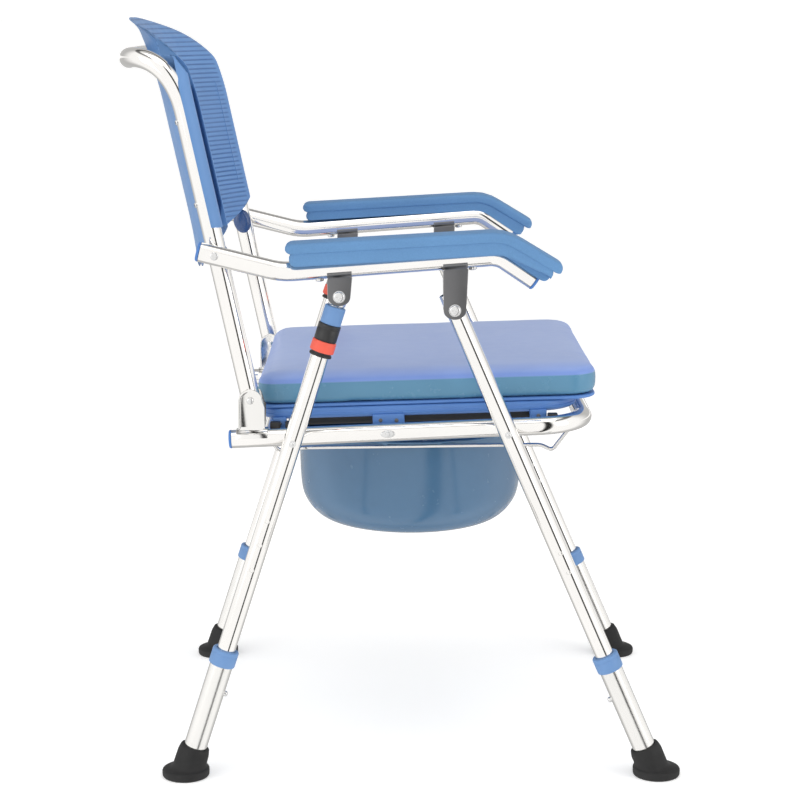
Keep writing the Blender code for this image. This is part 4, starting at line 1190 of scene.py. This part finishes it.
def build_arm(side, s):
    on = "arm_" + side
    line = arm_line()
    path = dense([W(p.x, s * Y_OUT, p.z) for p in line], 0.03)
    place(tube("vis_arm_tube_" + side, path, R_ARM, M["tube_x"], 44, R_ARM - 0.0015), on, "aluminium", "arm_tube_" + side)
    for label, a, b in (("rear", line[0], line[1]), ("front", line[-1], line[-2])):
        plug = [(0, -0.0036), (0.0080, -0.0036), (0.0100, -0.0033), (0.0112, -0.0024), (0.0116, -0.0014), (0.0116, -0.0003), (0.0097, -0.0003), (0.0097, 0.0120), (0, 0.0120)]
        place(lathe("vis_arm_plug_%s_%s" % (label, side), plug, W(a.x, s * Y_OUT, a.z), (b.x - a.x, 0, b.z - a.z), M["plug"], 40), on, "blue_plastic", "arm_plug_%s_%s" % (label, side))
    # Pad: a smooth body with a grained roll over it.
    body = rounded_profile(
        [(-0.0082, 0.0210), (-0.0082, 0.0072), (-0.0074, 0.0099), (0.0000, 0.0125), (0.0078, 0.0097), (0.0122, 0.0046), (0.0128, 0.0035), (0.0342, 0.0040), (0.0342, 0.0210)],
        [0.002, 0.0006, 0.001, 0.006, 0.004, 0.001, 0.0006, 0.0042, 0.002],
    )
    roll = rounded_profile([(-0.0102, 0.0188), (0.0362, 0.0188), (0.0362, 0.0309), (0.0130, 0.0318), (-0.0102, 0.0309)], [0.0032, 0.0032, 0.0075, 0.06, 0.0075], 8)
    lower = pad_piece("vis_pad_lower_" + side, body, s, 0.0030, -0.0050, 0.0080, 0.20, 0.06, M["pad"])
    upper = pad_piece("vis_arm_pad_" + side, roll, s, -0.0008, 0.0010, 0.0088, 0.0, 0.06, M["pad"])
    modifier(upper, "BOOLEAN", operation="UNION", solver="EXACT", object=lower)
    bpy.context.view_layer.update()
    bake(upper, 45)
    bpy.data.objects.remove(lower, do_unlink=True)
    place(upper, on, "arm_pad_vinyl", "arm_pad_" + side, pad=1.0)
    # Arm to back rivet, with a cross recess.
    screw("vis_arm_rivet_" + side, W(P1[0], s * (Y_OUT + R_ARM - 0.0004), P1[1]), (0, s, 0), 0.0048, 0.0018, on, "aluminium")
    slope = (ARM_PATH[2][1] - ARM_PATH[1][1]) / (ARM_PATH[2][0] - ARM_PATH[1][0])
    for label, pivot, x_mid in (("rear", P2, -0.0560), ("front", P3, 0.0778)):
        axis_z = ARM_PATH[1][1] + slope * (x_mid - ARM_PATH[1][0])
        build_leg_bracket(side, s, label, pivot, x_mid, axis_z, slope)
    for x, z_mark in ((-0.0794, 0.6017), (0.0977, 0.6138)):
        axis_z = ARM_PATH[1][1] + slope * (x - ARM_PATH[1][0])
        n = Vector((slope, 0, -1)).normalized()
        p = W(x, s * Y_OUT, axis_z) + n * (R_ARM - 0.0003)
        screw("vis_pad_screw_" + side, p, n, 0.0048, 0.0030, on, "aluminium", "cross")


def build_leg_bracket(side, s, label, pivot, x_mid, axis_z, slope):
    on = "arm_" + side
    w = 0.0145
    ax = Vector((1, 0, slope)).normalized()
    up = Vector((-slope, 0, 1)).normalized()
    c = Vector((x_mid, 0, axis_z))
    top = -0.0098
    outline = [(c + ax * (-w + 0.0012) + up * top), (c + ax * (-w) + up * (top - 0.0012))]
    outline = [(p.x, p.z) for p in outline]
    n = 26
    for i in range(n + 1):
        a = math.radians(180 + 180 * i / n)
        outline.append((pivot[0] + (w - 0.0012) * math.cos(a), pivot[1] + 0.0110 * math.sin(a)))
    tail = [(c + ax * w + up * (top - 0.0012)), (c + ax * (w - 0.0012) + up * top)]
    outline += [(p.x, p.z) for p in tail]
    pieces = []
    for k, face in enumerate((1, -1)):
        d = s * face
        y_in, y_out = s * Y_OUT + d * 0.0117, s * Y_OUT + d * 0.0135
        rings = []
        for grow, y in ((-0.0003, y_in), (0.0, y_in + d * 0.0004), (0.0, y_out - d * 0.0008), (-0.0003, y_out - d * 0.0003), (-0.0009, y_out)):
            rings.append([W(x, y, z) for x, z in offset(outline, grow)])
        v, f = loft(rings)
        p = make("vis_leg_bracket_%s_%s_%d" % (label, side, k), v, f, M["gunmetal"], 30)
        p.data.materials.append(M["screw"])
        for poly in p.data.polygons:
            if abs(poly.normal.y) < 0.80:
                poly.material_index = 1
        pieces.append(p)
    # The half pipe that holds the arm tube.
    rings = []
    for d in (-w + 0.0003, w - 0.0003):
        base = c + ax * d
        ring = []
        m = 28
        for i in range(m + 1):
            a = math.radians(203 + 134 * i / m)
            ring.append(W(base.x, s * Y_OUT, base.z) + Vector((0, 0.0134 * math.cos(a), 0)) + up * (0.0134 * math.sin(a)))
        for i in range(m, -1, -1):
            a = math.radians(203 + 134 * i / m)
            ring.append(W(base.x, s * Y_OUT, base.z) + Vector((0, 0.0117 * math.cos(a), 0)) + up * (0.0117 * math.sin(a)))
        rings.append(ring)
    v, f = loft(rings)
    pieces.append(make("vis_leg_saddle_%s_%s" % (label, side), v, f, M["saddle"], 30))
    for k, p in enumerate(pieces):
        if k == 0:
            place(p, on, "bracket_steel", "leg_bracket_%s_%s" % (label, side))
        else:
            place(p, on, "bracket_steel")
    screw("vis_bracket_bolt_%s_%s" % (label, side), W(pivot[0], s * (Y_OUT + 0.0134), pivot[1]), (0, s, 0), 0.0064, 0.0030, on, "button_steel", "cross", 0.0074)
    nut = lathe("vis_bracket_nut_%s_%s" % (label, side), [(0, -0.0002), (0.0066, -0.0002), (0.0066, 0.0024), (0.0058, 0.0032), (0.0036, 0.0034), (0.0034, 0.0046), (0, 0.0048)], W(pivot[0], s * (Y_OUT - 0.0134), pivot[1]), (0, -s, 0), M["screw"], 6, sharp=30)
    place(nut, on, "button_steel")


# ---------------------------------------------------------------- legs
def build_lower_leg(label, side, s, top, foot, ring_t, button_t, out):
    d = leg_dir(top, foot)
    base = W(top[0], s * Y_OUT, top[1])
    length = (Vector(foot) - Vector(top)).length
    on = "lower_leg_%s_%s" % (label, side)
    n = Vector((d.z, 0, -d.x))
    if (n.x > 0) != (out == "front"):
        n = -n
    t0, t1 = ring_t + 0.0030, length - 0.0155
    body = tube("vis_lower_tube_%s_%s" % (label, side), dense([base + d * t0, base + d * t1], 0.04), R_LOW, M["satin"], 48, R_LOW - 0.0022)
    spot = base + d * button_t
    hole = lathe("tool", [(0, 0.008), (0.0042, 0.008), (0.0042, 0.018), (0, 0.018)], spot, n, None, 24)
    cut(body, [hole])
    place(body, on, "aluminium", "lower_leg_tube_%s_%s" % (label, side))
    ri, ro = R_LEG + 0.0004, 0.0160
    ring = [(ri, 0.0004), (ri + 0.0006, 0.0), (0.0140, 0.0), (0.0150, 0.0003), (0.0157, 0.0011), (ro, 0.0021), (ro, 0.0045), (ro - 0.0003, 0.0049), (ro - 0.0003, 0.0054), (ro, 0.0058), (ro, 0.0184), (ro - 0.0003, 0.0193), (ro - 0.0010, 0.0199), (R_LOW + 0.0006, 0.0200), (R_LOW + 0.0003, 0.0197), (R_LOW + 0.0003, 0.0027), (ri, 0.0027)]
    place(lathe("vis_clamp_ring_%s_%s" % (label, side), ring, base + d * ring_t, d, M["ring"], 56, True), on, "ring_plastic", "clamp_ring_%s_%s" % (label, side))
    # Foot.
    u, vv = Vector((0, 1, 0)), d.cross(Vector((0, 1, 0))).normalized()
    seg = 56
    floor = Vector((foot[0] + SX, s * Y_OUT, 0))
    flat_v = Vector((-1, 0, 0)) if vv.x < 0 else Vector((1, 0, 0))

    def tilted(t, r):
        c = base + d * t
        return [c + (u * math.cos(2 * math.pi * i / seg) + vv * math.sin(2 * math.pi * i / seg)) * r for i in range(seg)]

    def level(z, r, shift=0.0):
        c = floor + Vector((shift, 0, z))
        return [c + (u * math.cos(2 * math.pi * i / seg) + flat_v * math.sin(2 * math.pi * i / seg)) * r for i in range(seg)]

    lean = d.x / d.z
    rings = [
        level(0.0, 0.0225), level(0.0, 0.0262), level(0.0006, 0.0275), level(0.0020, 0.0283), level(0.0040, 0.0285), level(0.0074, 0.0285),
        level(0.0090, 0.0281, lean * 0.001), level(0.0100, 0.0270, lean * 0.003), level(0.0106, 0.0252, lean * 0.006), level(0.0112, 0.0236, lean * 0.008),
        level(0.0122, 0.0222, lean * 0.0110), level(0.0138, 0.0211, lean * 0.0140), level(0.0156, 0.0205, lean * 0.0155),
        tilted(length - 0.0310, 0.0191), tilted(length - 0.0345, 0.0184), tilted(length - 0.0375, 0.0177), tilted(length - 0.0388, 0.0172), tilted(length - 0.0396, 0.0162),
        tilted(length - 0.0396, R_LOW + 0.0006), tilted(length - 0.0392, R_LOW + 0.0003), tilted(length - 0.0150, R_LOW + 0.0003), tilted(length - 0.0150, 0.004),
    ]
    v, f = loft(rings)
    place(make("vis_foot_%s_%s" % (label, side), v, f, M["rubber"], 50), on, "rubber", "foot_%s_%s" % (label, side))
    pin = [(0, 0.0113), (0.0034, 0.0113), (0.0034, 0.0158), (0.0032, 0.0166), (0.0027, 0.0173), (0.0018, 0.0179), (0, 0.0182)]
    place(lathe("vis_button_%s_%s" % (label, side), pin, spot, n, M["screw"], 32), "button_%s_%s" % (label, side), "button_steel", "leg_button_%s_%s" % (label, side))
    return spot, n


def build_legs(side, s):
    d = leg_dir(P3, FOOT_FRONT)
    base = W(P3[0], s * Y_OUT, P3[1])
    on = "front_leg_" + side
    leg = tube("vis_front_leg_" + side, dense([base - d * 0.0200, base + d * 0.5600], 0.04), R_LEG, M["tube"], 44, R_LEG - 0.0015)
    spot, n = build_lower_leg("front", side, s, P3, FOOT_FRONT, 0.4560, 0.5110, "rear")
    cut(leg, [lathe("tool", [(0, 0.004), (0.0042, 0.004), (0.0042, 0.016), (0, 0.016)], spot, n, None, 24)])
    place(leg, on, "aluminium", "front_leg_tube_" + side)
    first = (Vector((0.2035, 0.2763)) - Vector(P3)).length
    for k in range(-1, 2):
        for face in (1, -1):
            hole_ring("vis_front_hole_" + side, base + d * (first + 0.0254 * k + (0.0025 if k < 0 else 0)) + Vector((0, s * face * R_LEG, 0)), (0, s * face, 0), 0.0021, on) if k >= 0 else None
    for label, p, body in (("front", P6, "front_leg_" + side), ("rear", P5, "rear_leg_" + side)):
        pos = W(p[0], s * (Y_OUT + R_LEG - 0.0003), p[1])
        screw("vis_pivot_bolt_%s_%s" % (label, side), pos, (0, s, 0), 0.0026, 0.0022, body, "aluminium", "rivet", 0.0042)

    d = leg_dir(P2, FOOT_REAR)
    base = W(P2[0], s * Y_OUT, P2[1])
    leg_on, strut = "rear_leg_" + side, "strut_" + side
    rod = [(0, -0.0105), (0.0060, -0.0105), (0.0085, -0.0100), (0.0101, -0.0088), (0.0107, -0.0070), (0.0107, 0.0105), (0.0104, 0.0116), (0.0094, 0.0124), (0.0086, 0.0126), (0.0086, 0.2490), (0.0080, 0.2500), (0, 0.2500)]
    place(lathe("vis_strut_rod_" + side, rod, base, d, M["tube"], 44), strut, "aluminium", "strut_rod_" + side)
    sleeve = [(0.0089, 0.0132), (0.0108, 0.0132), (0.0118, 0.0136), (0.0123, 0.0144), (0.0124, 0.0152), (0.0124, 0.0342), (0.0122, 0.0348), (0.0118, 0.0349), (0.0089, 0.0349)]
    place(lathe("vis_strut_sleeve_" + side, sleeve, base, d, M["ring"], 48, True), strut, "blue_plastic", "strut_sleeve_" + side)
    collar = [(0.0089, 0.0353), (0.0126, 0.0353), (0.0132, 0.0356), (0.0134, 0.0362), (0.0134, 0.0400), (0.0131, 0.0404), (0.0131, 0.0412), (0.0134, 0.0416), (0.0134, 0.0540), (0.0132, 0.0546), (0.0121, 0.0549), (0.0121, 0.0715), (0.0132, 0.0717), (0.0134, 0.0722), (0.0134, 0.0736), (0.0131, 0.0742), (0.0126, 0.0743), (0.0113, 0.0743), (0.0113, 0.0400), (0.0089, 0.0397)]
    place(lathe("vis_lock_collar_" + side, collar, base, d, M["black"], 48, True), leg_on, "collar_plastic", "lock_collar_" + side)
    ring = [(0.0124, 0.0556), (0.0134, 0.0556), (0.0139, 0.0559), (0.0142, 0.0566), (0.0143, 0.0580), (0.0145, 0.0660), (0.0145, 0.0676), (0.0143, 0.0684), (0.0138, 0.0688), (0.0124, 0.0688)]
    ring_obj = lathe("vis_lock_ring_" + side, ring, base, d, M["red"], 72, True)
    place(ring_obj, "lock_ring_" + side, "ring_red", "lock_ring_" + side)
    leg = tube("vis_rear_leg_" + side, dense([base + d * 0.0404, base + d * 0.5550], 0.04), R_LEG, M["tube"], 44, R_LEG - 0.0015)
    spot, n = build_lower_leg("rear", side, s, P2, FOOT_REAR, 0.4480, 0.5020, "front")
    cut(leg, [lathe("tool", [(0, 0.004), (0.0042, 0.004), (0.0042, 0.016), (0, 0.016)], spot, n, None, 24)])
    place(leg, leg_on, "aluminium", "rear_leg_tube_" + side)
    for x, z in ((-0.1376, 0.3145), (-0.1498, 0.2866), (-0.1596, 0.2561)):
        t = (Vector((x, z)) - Vector(P2)).length
        for face in (1, -1):
            hole_ring("vis_rear_hole_" + side, base + d * t + Vector((0, s * face * R_LEG, 0)), (0, s * face, 0), 0.0021, leg_on)


build_seat_frame()
build_toilet_seat()
build_lid()
build_bucket()
build_back()
for _side, _s in SIDES:
    build_arm(_side, _s)
    build_legs(_side, _s)
